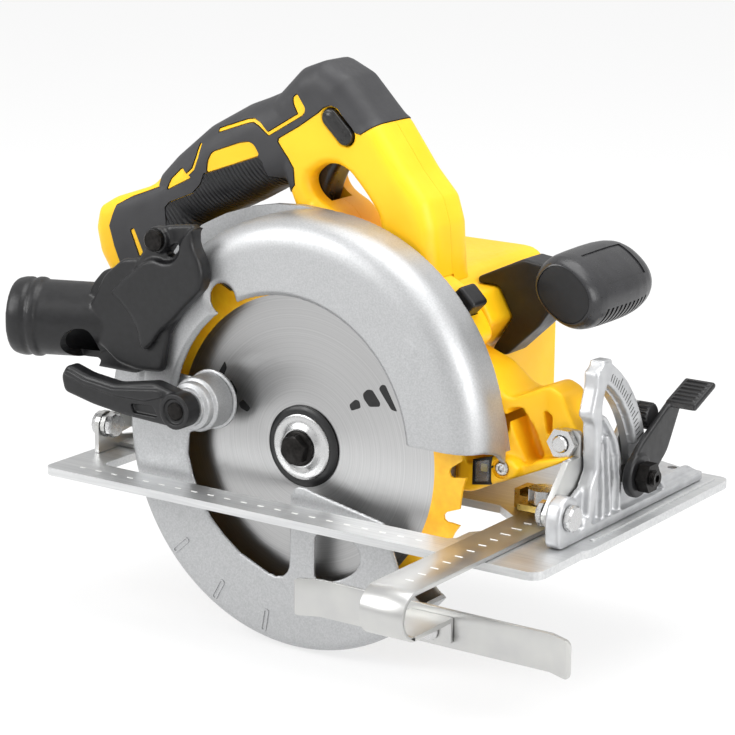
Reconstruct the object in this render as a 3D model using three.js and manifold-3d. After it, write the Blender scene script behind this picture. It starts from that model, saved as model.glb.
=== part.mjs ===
// Cordless circular saw, millimetres, +Z up.
// The exported group has its origin at the centre of the shoe's underside.
// The pieces sit in a nested group whose origin is the blade's centre on the spindle axis:
// +X is the cutting direction, +Y runs from the blade towards the motor, +Z is up.

import * as THREE from 'three';
import { mergeVertices } from 'three/addons/utils/BufferGeometryUtils.js';
import Module from 'manifold-3d';

const wasm = await Module();
wasm.setup();

// ---------------------------------------------------------------- driving dimensions

const BLADE_ORIGIN = [-12, -52, 28];
const BLADE_RADIUS = 92;
const BLADE_HALF_THICKNESS = 0.9;
const BLADE_TEETH = 24;
const BLADE_BORE = 8;

const SHOE_BOTTOM = -28;
const SHOE_TOP = -24;
const SHOE_REAR = -132.5;
const SHOE_FRONT = 156;
const SHOE_NEAR = -39;
const SHOE_FAR = 145;

// The bevel axis is parallel to X: [y, z]. The depth axis is parallel to Y: [x, z].
const BEVEL_AXIS = [2, -10];
const BEVEL_SLOT_RADIUS = 56.5;
const BEVEL_CLAMP = [58, -2.5];
const DETENT_KNOB = [78.5, 20.9];
const DEPTH_AXIS = [129, 17.5];
const DEPTH_ARC_RADIUS = 179.85;
const DEPTH_CLAMP = [-50, 0];

// The motor shaft is parallel to the spindle: [x, z]. The gears have a 1 mm module.
const MOTOR_AXIS = [14.08, 23.04];
const SPINDLE_GEAR_TEETH = 45;
const PINION_TEETH = 9;

const GUARD_RADIUS = 100;
const GUARD_NEAR = -11.6;
const GUARD_FAR = 9;
const UPPER_GUARD_CENTRE = [-11.3, -3.6];
const UPPER_GUARD_RADIUS = 118;
const UPPER_GUARD_WALL = 4;
const UPPER_GUARD_NEAR = -17;
const UPPER_GUARD_FAR = 12;
const LEVER_BOSS = [-48, 18];

const HANDLE_MIDDLE = 35;
const HANDLE_HALF_WIDTH = 18.7;

const CHUTE_PORT = [-108, -3, 47];
const CHUTE_PORT_TURN = 22;
const CHUTE_PORT_RADIUS = 19;
const FENCE_PLATE_NEAR = -64.8;

// Neighbouring pieces that touch in the real tool keep this gap.
const GAP = 0.3;

// ---------------------------------------------------------------- materials

function finish(color, roughness, metalness) {
  return new THREE.MeshStandardMaterial({ color, roughness, metalness });
}

const YELLOW = finish('#f6c21a', 0.45, 0);
const BLACK = finish('#2b2b2b', 0.6, 0);
const RUBBER = finish('#343434', 0.85, 0);
const CAST_ALUMINIUM = finish('#bebebe', 0.5, 1);
const SHEET_STEEL = finish('#c9c9c6', 0.35, 1);
const BRIGHT_STEEL = finish('#d2d2d2', 0.25, 1);
const DARK_STEEL = finish('#3a3a3a', 0.4, 1);
const BLADE_STEEL = finish('#b4b4b4', 0.3, 1);
const BRASSY_STEEL = finish('#b39a5e', 0.35, 1);
const CLEAR = finish('#c8d8e0', 0.1, 0);

// ---------------------------------------------------------------- outlines

const rad = THREE.MathUtils.degToRad;

// Points along an arc, in degrees from the first axis towards the second.
function arc(a, b, radius, from, to, steps) {
  const points = [];
  for (let i = 0; i <= steps; i += 1) {
    const angle = rad(from + ((to - from) * i) / steps);
    points.push([a + radius * Math.cos(angle), b + radius * Math.sin(angle)]);
  }
  return points;
}

function circle(a, b, radius, steps) {
  return arc(a, b, radius, 0, 360, steps).slice(0, -1);
}

function polygon(a, b, acrossFlats, sides) {
  return arc(a, b, acrossFlats / 2 / Math.cos(Math.PI / sides), 0, 360, sides).slice(0, -1);
}

// A slot with round ends along an arc.
function arcSlot(a, b, radius, halfWidth, from, to, steps) {
  const start = rad(from);
  const end = rad(to);
  const endA = [a + radius * Math.cos(end), b + radius * Math.sin(end)];
  const startA = [a + radius * Math.cos(start), b + radius * Math.sin(start)];
  return [
    ...arc(a, b, radius + halfWidth, from, to, steps),
    ...arc(endA[0], endA[1], halfWidth, to, to + 180, 6).slice(1),
    ...arc(a, b, radius - halfWidth, to, from, steps).slice(1),
    ...arc(startA[0], startA[1], halfWidth, from + 180, from + 360, 6).slice(1, -1),
  ];
}

// Replaces each corner of an outline by an arc of the given radius, as far as its sides allow.
function rounded(outline, radius, steps = 4) {
  const points = [];
  outline.forEach((corner, i) => {
    const here = new THREE.Vector2(...corner);
    const back = new THREE.Vector2(...outline.at(i - 1)).sub(here);
    const ahead = new THREE.Vector2(...outline[(i + 1) % outline.length]).sub(here);
    const half = Math.abs(back.angleTo(ahead)) / 2;
    const reach = Math.min(radius / Math.tan(half), 0.45 * back.length(), 0.45 * ahead.length());
    const curve = new THREE.QuadraticBezierCurve(
      here.clone().addScaledVector(back.normalize(), reach),
      here,
      here.clone().addScaledVector(ahead.normalize(), reach),
    );
    curve.getPoints(steps).forEach((point) => points.push([point.x, point.y]));
  });
  return points;
}

// ---------------------------------------------------------------- solids

// Each extrusion direction with the axes that its outline's two numbers run along.
const BASIS = {
  x: [[0, 1, 0], [0, 0, 1], [1, 0, 0]],
  y: [[0, 0, 1], [1, 0, 0], [0, 1, 0]],
  z: [[1, 0, 0], [0, 1, 0], [0, 0, 1]],
};

function axes(name) {
  return new THREE.Matrix4().makeBasis(...BASIS[name].map((v) => new THREE.Vector3(...v)));
}

function solid(geometry) {
  const bare = geometry.clone();
  bare.deleteAttribute('normal');
  bare.deleteAttribute('uv');
  const merged = mergeVertices(bare, 1e-4);
  const vertProperties = new Float32Array(merged.attributes.position.array);
  const triangles = [];
  for (let i = 0; i < merged.index.count; i += 3) {
    const [a, b, c] = merged.index.array.slice(i, i + 3);
    if (a !== b && b !== c && c !== a) {
      triangles.push([a, b, c]);
    }
  }
  const build = (list) => new wasm.Manifold(new wasm.Mesh({
    numProp: 3,
    vertProperties,
    triVerts: new Uint32Array(list.flat()),
  }));
  const made = build(triangles);
  return made.volume() > 0 ? made : build(triangles.map(([a, b, c]) => [a, c, b]));
}

// Outlines are [y, z] along X, [x, z] along Y and [x, y] along Z.
function shapeOf(axis, outline, holes) {
  const flat = (points) => points
    .filter(([a, b], i) => Math.hypot(a - points.at(i - 1)[0], b - points.at(i - 1)[1]) > 1e-3)
    .map(([a, b]) => new THREE.Vector2(...(axis === 'y' ? [b, a] : [a, b])));
  const points = flat(outline);
  const shape = new THREE.Shape(THREE.ShapeUtils.isClockWise(points) ? points.reverse() : points);
  shape.holes = holes.map((hole) => new THREE.Path(flat(hole)));
  return shape;
}

function prism(axis, outline, from, to, holes = []) {
  const geometry = new THREE.ExtrudeGeometry(shapeOf(axis, outline, holes), {
    depth: to - from,
    bevelEnabled: false,
    curveSegments: 1,
  });
  return solid(geometry.translate(0, 0, from).applyMatrix4(axes(axis)));
}

// A prism whose long edges are softened at both ends by a 45 degree or rounder shoulder.
function softPrism(axis, outline, from, to, soft, steps = 2) {
  const geometry = new THREE.ExtrudeGeometry(shapeOf(axis, outline, []), {
    depth: to - from - 2 * soft,
    bevelEnabled: true,
    bevelThickness: soft,
    bevelSize: soft,
    bevelOffset: -soft,
    bevelSegments: steps,
    curveSegments: 1,
  });
  return solid(geometry.translate(0, 0, from + soft).applyMatrix4(axes(axis)));
}

function box(x0, x1, y0, y1, z0, z1) {
  const geometry = new THREE.BoxGeometry(x1 - x0, y1 - y0, z1 - z0);
  return solid(geometry.translate((x0 + x1) / 2, (y0 + y1) / 2, (z0 + z1) / 2));
}

function rod(axis, centre, radius, from, to, steps = 16) {
  return prism(axis, circle(centre[0], centre[1], radius, steps), from, to);
}

function ring(axis, centre, inner, outer, from, to, steps = 24) {
  const [a, b] = centre;
  return prism(axis, circle(a, b, outer, steps), from, to, [circle(a, b, inner, steps)]);
}

// A turned piece: the profile is [radius, place along the axis], from axis to axis or a loop.
function turned(axis, centre, profile, steps = 16) {
  const loop = profile[0][0] > 0 ? [...profile, profile[0]] : profile;
  const points = loop.map(([radius, along]) => new THREE.Vector2(radius, along));
  const geometry = new THREE.LatheGeometry(points, steps);
  const upright = new THREE.Matrix4().makeRotationX(Math.PI / 2);
  const place = { x: [0, ...centre], y: [centre[0], 0, centre[1]], z: [...centre, 0] }[axis];
  geometry.applyMatrix4(upright).applyMatrix4(axes(axis)).translate(...place);
  return solid(geometry);
}

function join(first, ...others) {
  return others.reduce((whole, part) => whole.add(part), first);
}

function cut(first, ...others) {
  return others.reduce((whole, part) => whole.subtract(part), first);
}

function moved(part, x, y, z) {
  return part.translate([x, y, z]);
}

function meshOf(name, part, material) {
  const { vertProperties, triVerts } = part.getMesh();
  const geometry = new THREE.BufferGeometry();
  geometry.setAttribute('position', new THREE.BufferAttribute(vertProperties, 3));
  geometry.setIndex(new THREE.BufferAttribute(triVerts, 1));
  geometry.computeVertexNormals();
  const mesh = new THREE.Mesh(geometry, material);
  mesh.name = name;
  return mesh;
}

// ---------------------------------------------------------------- shoe and bevel brackets

function shoePlate() {
  const outline = [
    ...arc(SHOE_REAR + 5, SHOE_NEAR + 5, 5, 180, 270, 4),
    ...arc(147, SHOE_NEAR + 7, 7, 270, 360, 5),
    [154, 0], [SHOE_FRONT, 6],
    ...arc(SHOE_FRONT - 6, SHOE_FAR - 6, 6, 0, 90, 4),
    ...arc(SHOE_REAR + 6, SHOE_FAR - 6, 6, 90, 180, 4),
  ];
  const slot = [
    ...arc(-107, -15, 4, 180, 270, 3),
    [94, -19], [97, -16], [97, -5], [101, 0], [101, 28], [94.7, 33], [86.6, 39],
    ...arc(-107, 35, 4, 90, 180, 3),
  ];
  return prism('z', outline, SHOE_BOTTOM, SHOE_TOP, [slot]);
}

// A cast quarter plate across the saw with the curved bevel slot and a raised scale band.
function bevelQuadrant() {
  const [y, z] = BEVEL_AXIS;
  const floor = SHOE_TOP + GAP;
  const web = [
    [y - 7, floor], [y - 7, z], ...arc(y, z, 7, 180, 120, 3),
    [3, -4], [14, -4.5], [21, -1.5], [26.4, 5.5], [25.1, 28.5], [20.5, 33], [25, 46], [25, 52.5],
    [29.5, 57.5],
    ...arc(y, z, 75, 62, 18, 8),
    [80, 4], [88, -14], [128, -15], [134, -19], [134, floor],
  ];
  const slot = arcSlot(y, z, BEVEL_SLOT_RADIUS, 4, 5, 55, 8);
  const pinHole = circle(y, z, 3 + GAP, 16);
  const plate = prism('x', web, 138, 142, [slot, pinHole]);
  const band = prism('x', arcSlot(y, z, 69.5, 4.5, 18, 60, 8), 140, 145.5);
  const pinBoss = ring('x', BEVEL_AXIS, 3 + GAP, 6.6, 138, 146, 16);
  const foot = box(138, 146, y - 7, 134, floor, floor + 5);
  const upright = box(138, 145.5, 22, 26, floor, 3);
  const rib = prism('x', [[79, 2], [83, 2], [100, floor + 4], [94, floor + 4]], 138, 145.5);
  const shape = join(plate, band, foot, upright, rib);
  return join(cut(shape, rod('x', BEVEL_AXIS, 6, 137, 147, 16)), pinBoss);
}

function detentKnob() {
  const profile = [[0, 137.8], [4, 137.8], [4, 140], [6.5, 140.6], [6.5, 145], [5.5, 146.2], [0, 146.2]];
  return turned('x', DETENT_KNOB, profile, 12);
}

function rearBevelBracket() {
  const [y, z] = BEVEL_AXIS;
  const floor = SHOE_TOP + GAP;
  const ear = [
    [y - 7, floor], ...arc(y, z, 7, 180, 60, 6), [14, -18], [36, floor + 2], [36, floor],
  ];
  const earPlate = prism('x', ear, -127.5, -125, [circle(y, z, 3 + GAP, 16)]);
  const foot = box(-127, -112, 12, 36, floor, floor + 2);
  return join(earPlate, foot);
}

function bevelPin(from, to, headLength) {
  const profile = [
    [0, from], [5.5, from], [6.3, from + 0.8], [6.3, from + headLength], [3, from + headLength],
    [3, to - headLength], [6.3, to - headLength], [6.3, to - 0.8], [5.5, to], [0, to],
  ];
  return turned('x', BEVEL_AXIS, profile, 12);
}

function footScrew(x, y) {
  const top = SHOE_TOP + 3;
  const profile = [[0, top], [5, top], [5, top + 1.5], [3.5, top + 3.5], [0, top + 3.8]];
  return turned('z', [x, y], profile, 12);
}

// ---------------------------------------------------------------- rip fence

const FENCE_RIVET = [116, -49.7];
const FENCE_BAR = { x0: 104.5, x1: 127, z0: SHOE_TOP + GAP, thick: 2.2, bend: -95, farEnd: 58 };

// A flat bar that runs across the shoe, turns back under itself and drops to the fence plate.
function ripFenceBar() {
  const { x0, x1, z0, thick, bend, farEnd } = FENCE_BAR;
  const outer = 11.5;
  const flange = FENCE_PLATE_NEAR - GAP - 1.9;
  const centre = z0 + thick - outer;
  const section = [
    [farEnd, z0], [farEnd, z0 + thick], [bend, z0 + thick],
    ...arc(bend, centre, outer, 90, 270, 12).slice(1, -1),
    [bend, centre - outer], [flange, centre - outer], [flange, -54], [flange + 1.9, -54],
    [flange + 1.9, centre - outer + thick], [bend, centre - outer + thick],
    ...arc(bend, centre, outer - thick, 270, 90, 10).slice(1, -1),
    [bend, z0],
  ];
  return cut(prism('x', section, x0, x1), rod('y', FENCE_RIVET, 2.3, -70, -60, 12));
}

// The plate that runs along the timber's edge, with both ends eased outwards.
function ripFencePlate() {
  const far = FENCE_PLATE_NEAR + 1.9;
  const outline = [
    [42.5, far - 5], [44, far - 6.4], [55, FENCE_PLATE_NEAR], [176, FENCE_PLATE_NEAR], [187, far - 6.4],
    [188.5, far - 5], [176.5, far], [54.5, far],
  ];
  return cut(prism('z', outline, -57, -39.5), rod('y', FENCE_RIVET, 2.3, -70, -60, 12));
}

function ripFenceRivet() {
  const near = FENCE_PLATE_NEAR - 2.5;
  const far = FENCE_PLATE_NEAR + 2.2;
  return turned('y', FENCE_RIVET, [
    [0, near - 2], [3.5, near - 2], [4.6, near - 1], [4.6, near], [2, near],
    [2, far], [4.6, far], [4.6, far + 1], [0, far + 1.5],
  ], 12);
}

// The block on the shoe that the fence bar slides through, with a threaded tongue over the bar.
function fenceGuideBlock() {
  const block = box(94, 131, 40, 52, SHOE_TOP + GAP, -14.5);
  const channel = box(FENCE_BAR.x0 - GAP, FENCE_BAR.x1 + GAP, 39, 53, SHOE_TOP - 1, SHOE_TOP + 3);
  const recess = box(97, 103, 39, 46, -17.5, -14);
  const tongue = box(107, 125, 21, 41, -17.9, -14.9);
  return cut(join(block, tongue), channel, recess, rod('z', [116, 30], 3.3, -19, -14, 16));
}

function fenceScrew() {
  const stem = rod('z', [116, 30], 3, -20.9, -14, 16);
  const knob = prism('z', rounded(polygon(116, 30, 14, 8), 2, 2), -14.6, -8);
  return join(stem, knob);
}

// ---------------------------------------------------------------- bevel frame and depth stop

// The folded bracket that carries the saw's front pivot and tilts with it.
function bevelBracket() {
  const [y, z] = BEVEL_AXIS;
  const [clampY, clampZ] = BEVEL_CLAMP;
  const [pivotX, pivotZ] = DEPTH_AXIS;
  const web = [
    ...arc(y, z, 6.5, 170, 290, 6), ...arc(clampY, clampZ, 9.5, 270, 400, 6), [53, 12], [14.5, 12],
  ];
  const plate = prism('x', web, 134.5, 137.5, [circle(y, z, 3 + GAP, 16)]);
  const earOutline = [[136, -6.5], ...arc(pivotX, pivotZ, 8.4, 0, 180, 8), [120.6, -6.5]];
  const pivotHole = [circle(pivotX, pivotZ, 4 + GAP, 16)];
  const nearEar = prism('y', earOutline, 25.5, 28, pivotHole);
  const farEar = prism('y', earOutline, 50.5, 53, pivotHole);
  const lugOutline = rounded([[56, -11], [70, -2], [86, 16], [84, 27], [73, 27], [56, 8]], 4, 2);
  const lug = prism('x', lugOutline, 134.5, 137.5);
  return join(cut(join(plate, lug), rod('x', BEVEL_CLAMP, 4, 134, 138)), nearEar, farEar);
}

// The slotted arc that the saw body is clamped to when it is raised, with a tab on the rear pivot.
function depthBracket() {
  const [y, z] = BEVEL_AXIS;
  const [x0, z0] = DEPTH_AXIS;
  const band = arcSlot(x0, z0, DEPTH_ARC_RADIUS, 9.5, 156.5, 187.5, 10);
  const slot = arcSlot(x0, z0, DEPTH_ARC_RADIUS, 4, 157, 186.3, 10);
  const leg = box(-124.6, -50, 16.5, 19.5, -14, -2);
  const tab = [...arc(y, z, 6.5, 130, 290, 7), [19.5, -14], [19.5, -2], [13, -2]];
  const tabPlate = prism('x', tab, -124.6, -122, [circle(y, z, 3 + GAP, 16)]);
  const upright = join(prism('y', band, 16.5, 19.5), leg);
  return join(cut(upright, prism('y', slot, 16, 20)), tabPlate);
}

function bevelClampBolt() {
  return turned('x', BEVEL_CLAMP, [
    [0, 131.5], [4, 131.5], [4.6, 132.3], [4.6, 134.2], [3.7, 134.2], [3.7, 142.3],
    [8, 142.3], [8, 146.6], [3.7, 146.6], [3.7, 160], [3, 160.7], [0, 160.7],
  ], 14);
}

function hexNut(axis, centre, acrossFlats, bore, from, to) {
  const [a, b] = centre;
  return prism(axis, polygon(a, b, acrossFlats, 6), from, to, [circle(a, b, bore, 16)]);
}

function bevelLever() {
  const [y, z] = BEVEL_CLAMP;
  const hub = rod('x', BEVEL_CLAMP, 11, 147, 152.4, 24);
  const arm = rounded([[52, -11], [66, -11], [71, -7], [98, 25.5], [97, 30], [88, 27], [50, 4]], 3, 3);
  const tread = [[87, 24.2], [89, 23.8], [108, 31], [108, 34.4], [106.6, 34.8], [87, 27.4]];
  const pad = prism('x', tread, 147.5, 164);
  const ribs = [0, 1, 2, 3, 4, 5].map((i) => {
    const [ry, rz] = [90 + i * 2.9, 28.5 + i * 1.1];
    const bead = [[ry - 0.7, rz - 1], [ry + 0.7, rz - 0.6], [ry + 0.4, rz + 0.8], [ry - 0.6, rz + 0.5]];
    return prism('x', bead, 149, 162.5);
  });
  const whole = join(hub, prism('x', arm, 147.5, 152.4), pad, ...ribs);
  return cut(whole, rod('x', [y, z], 4, 146, 158, 16));
}

function depthPivotBolt() {
  return turned('y', DEPTH_AXIS, [
    [0, 19.9], [3.4, 19.9], [4, 20.6], [4, 53.3], [7, 53.3], [7, 56.5], [5.5, 57.8], [0, 57.8],
  ], 14);
}

function depthClampBolt() {
  return turned('y', DEPTH_CLAMP, [
    [0, 9.9], [7, 9.9], [7, 12], [3.7, 12], [3.7, 27.4], [6.5, 27.4], [6.5, 31], [0, 31],
  ], 14);
}

function depthLever() {
  const [x, z] = DEPTH_CLAMP;
  const hub = rod('y', DEPTH_CLAMP, 9, 20, 27, 24);
  const arm = rounded([
    [x - 4, z - 7], [x - 40, z + 4], [x - 46, z + 12], [x - 36, z + 16], [x + 2, z + 8],
  ], 4, 3);
  const whole = join(hub, softPrism('y', arm, 20.6, 26.6, 1, 1));
  return cut(whole, rod('y', DEPTH_CLAMP, 4, 19, 28, 16));
}

// ---------------------------------------------------------------- blade and drive

// A disc with raked teeth that each stand at the end of a rounded gullet.
function blade() {
  const outline = [];
  const pitch = 360 / BLADE_TEETH;
  for (let tooth = 0; tooth < BLADE_TEETH; tooth += 1) {
    const start = tooth * pitch;
    const places = [
      [BLADE_RADIUS, 0], [BLADE_RADIUS - 2, 3.4], [BLADE_RADIUS - 9, 11.4], [BLADE_RADIUS - 11.2, 13.4],
      [BLADE_RADIUS - 8.5, 15.2],
    ];
    places.forEach(([radius, turn]) => {
      const angle = rad(-(start + turn));
      outline.push([radius * Math.cos(angle), radius * Math.sin(angle)]);
    });
  }
  const holes = [circle(0, 0, BLADE_BORE, 24)];
  return prism('y', outline.reverse(), -BLADE_HALF_THICKNESS, BLADE_HALF_THICKNESS, holes);
}

function spindle() {
  return turned('y', [0, 0], [
    [4.3, -4.7], [7.1, -4.7], [7.6, -4.2], [7.6, 45], [0, 45], [0, 14], [4.3, 12.5],
  ], 20);
}

function bladeBolt() {
  const head = prism('y', polygon(0, 0, 13, 6), -11, -6.2);
  const flange = rod('y', [0, 0], 8.8, -6.4, -5.3, 20);
  return join(head, flange, rod('y', [0, 0], 4, -5.5, 12, 16));
}

// A spur gear with plain tapered teeth, phased so that a tooth or a space points along 0 degrees.
function gear(centre, teeth, bore, from, to, phase) {
  const radius = teeth / 2;
  const pitch = 360 / teeth;
  const outline = [];
  const places = [[-0.32, -0.9], [0, 0.7], [0.32, -0.9]];
  for (let tooth = 0; tooth < teeth; tooth += 1) {
    places.forEach(([turn, out]) => {
      const angle = rad(phase + (tooth + turn) * pitch);
      const reach = radius + out;
      outline.push([centre[0] + reach * Math.cos(angle), centre[1] + reach * Math.sin(angle)]);
    });
  }
  return prism('y', outline, from, to, [circle(centre[0], centre[1], bore, 20)]);
}

const GEAR_LINE = THREE.MathUtils.radToDeg(Math.atan2(MOTOR_AXIS[1], MOTOR_AXIS[0]));

function spindleGear() {
  return gear([0, 0], SPINDLE_GEAR_TEETH, 7.9, 21, 31, GEAR_LINE);
}

function pinion() {
  return gear(MOTOR_AXIS, PINION_TEETH, 2.5, 21, 32, GEAR_LINE + 180 + 180 / PINION_TEETH);
}

function rotor() {
  return turned('y', MOTOR_AXIS, [
    [0, 19], [2.2, 19], [2.2, 38], [4, 39], [4, 53], [18.4, 53], [18.4, 97], [4, 97], [4, 116], [0, 116],
  ], 28);
}

function coolingFan() {
  const disc = ring('y', MOTOR_AXIS, 4.3, 27, 104, 106, 32);
  const [x, z] = MOTOR_AXIS;
  const blades = [];
  for (let i = 0; i < 7; i += 1) {
    const blank = box(8, 26, 105.5, 112, -0.8, 0.8);
    blades.push(moved(blank.rotate([0, (360 / 7) * i, 0]), x, 0, z));
  }
  return join(disc, ...blades);
}

// ---------------------------------------------------------------- guards

function lowerGuard() {
  const near = GUARD_NEAR;
  const cover = turned('y', [0, 0], [
    [0, near], [95.5, near], [98.8, near + 1.3], [GUARD_RADIUS, near + 4], [GUARD_RADIUS, GUARD_FAR],
    [97.6, GUARD_FAR], [97.6, near + 4.4], [94.8, near + 1.6], [0, near + 1.6],
  ], 48);
  const kept = [
    [-130, -120], [107, -120], [107, -90], [71, -59], [62.5, -48.4], [57.8, -36], [53.7, -26.4],
    [14, -18.6], [9, -17.3], [5.7, -17], [2.4, -17.8], [-0.5, -22], [-1, -60], [-5.5, -62],
    [-13, -65], [-31.5, -58], [-45, -48], [-53, -39], [-58, -27], [-63, -15], [-62, -1],
    ...arc(LEVER_BOSS[0], LEVER_BOSS[1], 15, 262, 500, 12), [-116, 31],
  ];
  const window = rounded([[13.5, -38], [35, -38], [40.8, -44], [39, -53], [28, -60], [13.5, -64]], 3, 3);
  const front = cut(
    cover.intersect(prism('y', kept, near - 1, GUARD_FAR + 1)),
    prism('y', window, near - 1, near + 3),
  );
  const back = [...arc(0, 0, GUARD_RADIUS - 1, 165, 320, 24), ...arc(0, 0, 27, 320, 525, 20)];
  const backPlate = prism('y', back, 7.2, GUARD_FAR, [circle(0, 0, 24, 24)]);
  return join(front, backPlate);
}

function guardBoss() {
  const near = GUARD_NEAR - GAP;
  return turned('y', LEVER_BOSS, [
    [2.3, -30.9], [9.5, -30.9], [9.5, -24], [13.2, -22], [13.5, -20], [13.5, near], [2.3, near],
  ], 20);
}

function guardLever() {
  const [x, z] = LEVER_BOSS;
  const outline = [
    ...arc(x, z, 8.9, -95, 60, 8), [x - 14, 30], [-86, 25.5], [-104, 27.5], [-116, 31],
    [-120, 25], [-118, 17], [-100, 12.9], [-80, 10.4], [-62, 9.6],
  ];
  const body = softPrism('y', outline, -41, -31.3, 1.6, 1);
  const pocket = prism('y', rounded([[-78, 14], [-104, 18], [-98, 23], [-76, 21]], 2, 2), -42, -38.6);
  return cut(body, pocket, rod('y', [x, z], 5, -42, -38.4), rod('y', [x, z], 2.3, -42, -30, 12));
}

function guardLeverScrew() {
  return turned('y', LEVER_BOSS, [
    [0, -40.8], [3.8, -40.8], [4.6, -40], [4.6, -38.7], [2, -38.7], [2, -24], [0, -24],
  ], 12);
}

function guardSpring() {
  return ring('y', [0, 0], 28, 31, 9.6, 11.7, 32);
}

// The fixed guard: a deep cover turned about its own centre, cut to the arch over the blade.
function upperGuard() {
  const [x] = UPPER_GUARD_CENTRE;
  const near = UPPER_GUARD_NEAR;
  const outer = UPPER_GUARD_RADIUS;
  const inner = outer - UPPER_GUARD_WALL;
  const cover = turned('y', UPPER_GUARD_CENTRE, [
    [0, near], [101, near], [108.5, near + 1.6], [114, near + 5.5], [117.2, near + 11.5], [outer, near + 18],
    [outer, UPPER_GUARD_FAR], [inner, UPPER_GUARD_FAR], [inner, near + 13], [112.9, near + 9],
    [110, near + 5.7], [105, near + 3.6], [99, near + 3], [0, near + 3],
  ], 48);
  const kept = [
    [x + 130, 5.4], [67.2, 5.4], [67.2, 15], ...arc(0.2, 8.4, 67.8, 6, 170, 24),
    [-68, 17], [-89, 17], [-89, 13], [x - 130, 13], [x - 130, 130], [x + 130, 130],
  ];
  const notch = rod('y', [-38, 70], 8, near - 1, near + 4, 16);
  const chuteOpening = box(-140, -86, near - 1, UPPER_GUARD_FAR + 1, 0, 78);
  const heel = [
    [-20, 0], [-20, 15.2], [-6, 14.6], [2, 12.6], [6, 10.8], [9.5, 8.2], [12.5, 5], [20, 5], [20, 0],
  ];
  const arch = cover.intersect(prism('y', kept, near - 1, UPPER_GUARD_FAR + 1));
  return cut(arch, notch, chuteOpening, prism('x', heel, 60, 130));
}

// The flat back of the fixed guard with the ring-shaped nose that holds the spindle's bearing.
function upperGuardBack() {
  const disc = rod('y', UPPER_GUARD_CENTRE, UPPER_GUARD_RADIUS, 12.3, 16, 48);
  const kept = [
    [-140, 2], [-109, 2], [-96, -18], [76, -18], [76, 12], [130, 12], [130, 130], [-140, 130],
  ];
  const nose = rod('y', [0, 0], 23.5, 6.5, 12.5, 24);
  const plate = join(disc.intersect(prism('y', kept, 12, 17)), nose);
  const bearingSeat = rod('y', [0, 0], 20, 6, 17, 24);
  const clampHole = rod('y', DEPTH_CLAMP, 4, 12, 17);
  return cut(plate, bearingSeat, clampHole, portRod(CHUTE_PORT_RADIUS + 2 * GAP, -30, 16));
}

// The dust port is made along X at the origin, then turned to point rearwards and away from the motor.
function alongPort(part) {
  return part.rotate([0, 0, CHUTE_PORT_TURN]).translate(CHUTE_PORT);
}

function portRod(radius, from, to) {
  return alongPort(rod('x', [0, 0], radius, from, to, 20));
}

// A moulded elbow over the guard's rear opening that leads into a round port.
function dustChute() {
  const flap = rounded([
    [-106, 74], [-94, 91], [-77, 97], [-63, 103], [-48, 106], [-47, 90], [-48, 76], [-60, 58],
    [-66, 44], [-70, 29], [-85, 28], [-98, 30], [-112, 40], [-116, 56],
  ], 4, 2);
  const body = rounded([[-118, 26], [-118, 66], [-108, 77], [-86.3, 77], [-86.3, 26]], 5, 2);
  const front = softPrism('y', flap, -27, -17.4, 2, 1);
  const elbow = prism('y', body, -19, 12);
  const tube = portRod(CHUTE_PORT_RADIUS, -43, 6);
  const collar = alongPort(turned('x', [0, 0], [
    [0, -57], [19, -57], [20, -56], [20, -43], [19, -42], [0, -42],
  ], 20));
  const passage = portRod(CHUTE_PORT_RADIUS - 3.5, -58, 12);
  const chamber = box(-114, -86, -13.5, 10, 30, 72);
  const sweep = rod('y', [0, 0], 103, -13.5, 10, 36);
  const screwHole = rod('y', [-69, 97], 2.3, -28, -16, 12);
  return cut(join(front, elbow, tube, collar), passage, chamber, sweep, screwHole);
}

function chuteScrew() {
  return turned('y', [-69, 97], [
    [0, -30.4], [4.4, -30.4], [5.4, -29.4], [5.4, -27.4], [2, -27.4], [2, -17.4], [0, -17.4],
  ], 16);
}

// ---------------------------------------------------------------- spindle lock

// The push button slides along this [x, z] direction, towards the spindle gear.
const LOCK_WAY = [0.7, 0.714];

function lockOutline(extra, depth) {
  const [ux, uz] = LOCK_WAY;
  const at = (along, across) => [76.5 + along * ux - across * uz, 78 + along * uz + across * ux];
  const half = 6 + extra;
  return [at(-depth, -half), at(5, -half), at(5, half), at(-depth, half)];
}

function spindleLock() {
  return prism('y', lockOutline(0, 11), 17, 30);
}

function lockSeat() {
  return prism('y', lockOutline(GAP, 16), 16, 30 + GAP);
}

// ---------------------------------------------------------------- gear case and motor

// The gear case reaches lower than the motor housing, through the shoe's opening.
const UPPER_CORNERS = [[60, -12], [70, 0], [70, 62], [60, 86], [-5, 86], [-24, 64], [-26, 20], [-26, -8]];
const GEAR_OUTLINE = rounded([...UPPER_CORNERS, [-16, -21], [0, -25.5], [22, -21]], 9, 2);
const MOTOR_OUTLINE = rounded([...UPPER_CORNERS, [-16, -19], [0, -21.5], [24, -20]], 9, 2);
const LOBE_OUTLINE = rounded([[50, 36], [72, 46], [84, 60], [80, 68], [68, 82], [56, 88]], 3, 2);
const BLOCK_OUTLINE = rounded([[60, 50], [71, 50.5], [81.8, 65], [74, 78.5], [60, 79]], 2, 2);

// Moves every side of an outline outwards by the same distance; negative moves it inwards.
function grown(outline, by) {
  const turn = Math.sign(THREE.ShapeUtils.area(outline.map((p) => new THREE.Vector2(...p))));
  return outline.map((corner, i) => {
    const here = new THREE.Vector2(...corner);
    const into = here.clone().sub(new THREE.Vector2(...outline.at(i - 1))).normalize();
    const out = new THREE.Vector2(...outline[(i + 1) % outline.length]).sub(here).normalize();
    const sum = into.add(out).normalize();
    const lean = Math.max(Math.abs(sum.dot(out)), 0.4);
    const push = (by * turn) / lean;
    return [corner[0] + sum.y * push, corner[1] - sum.x * push];
  });
}

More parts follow.
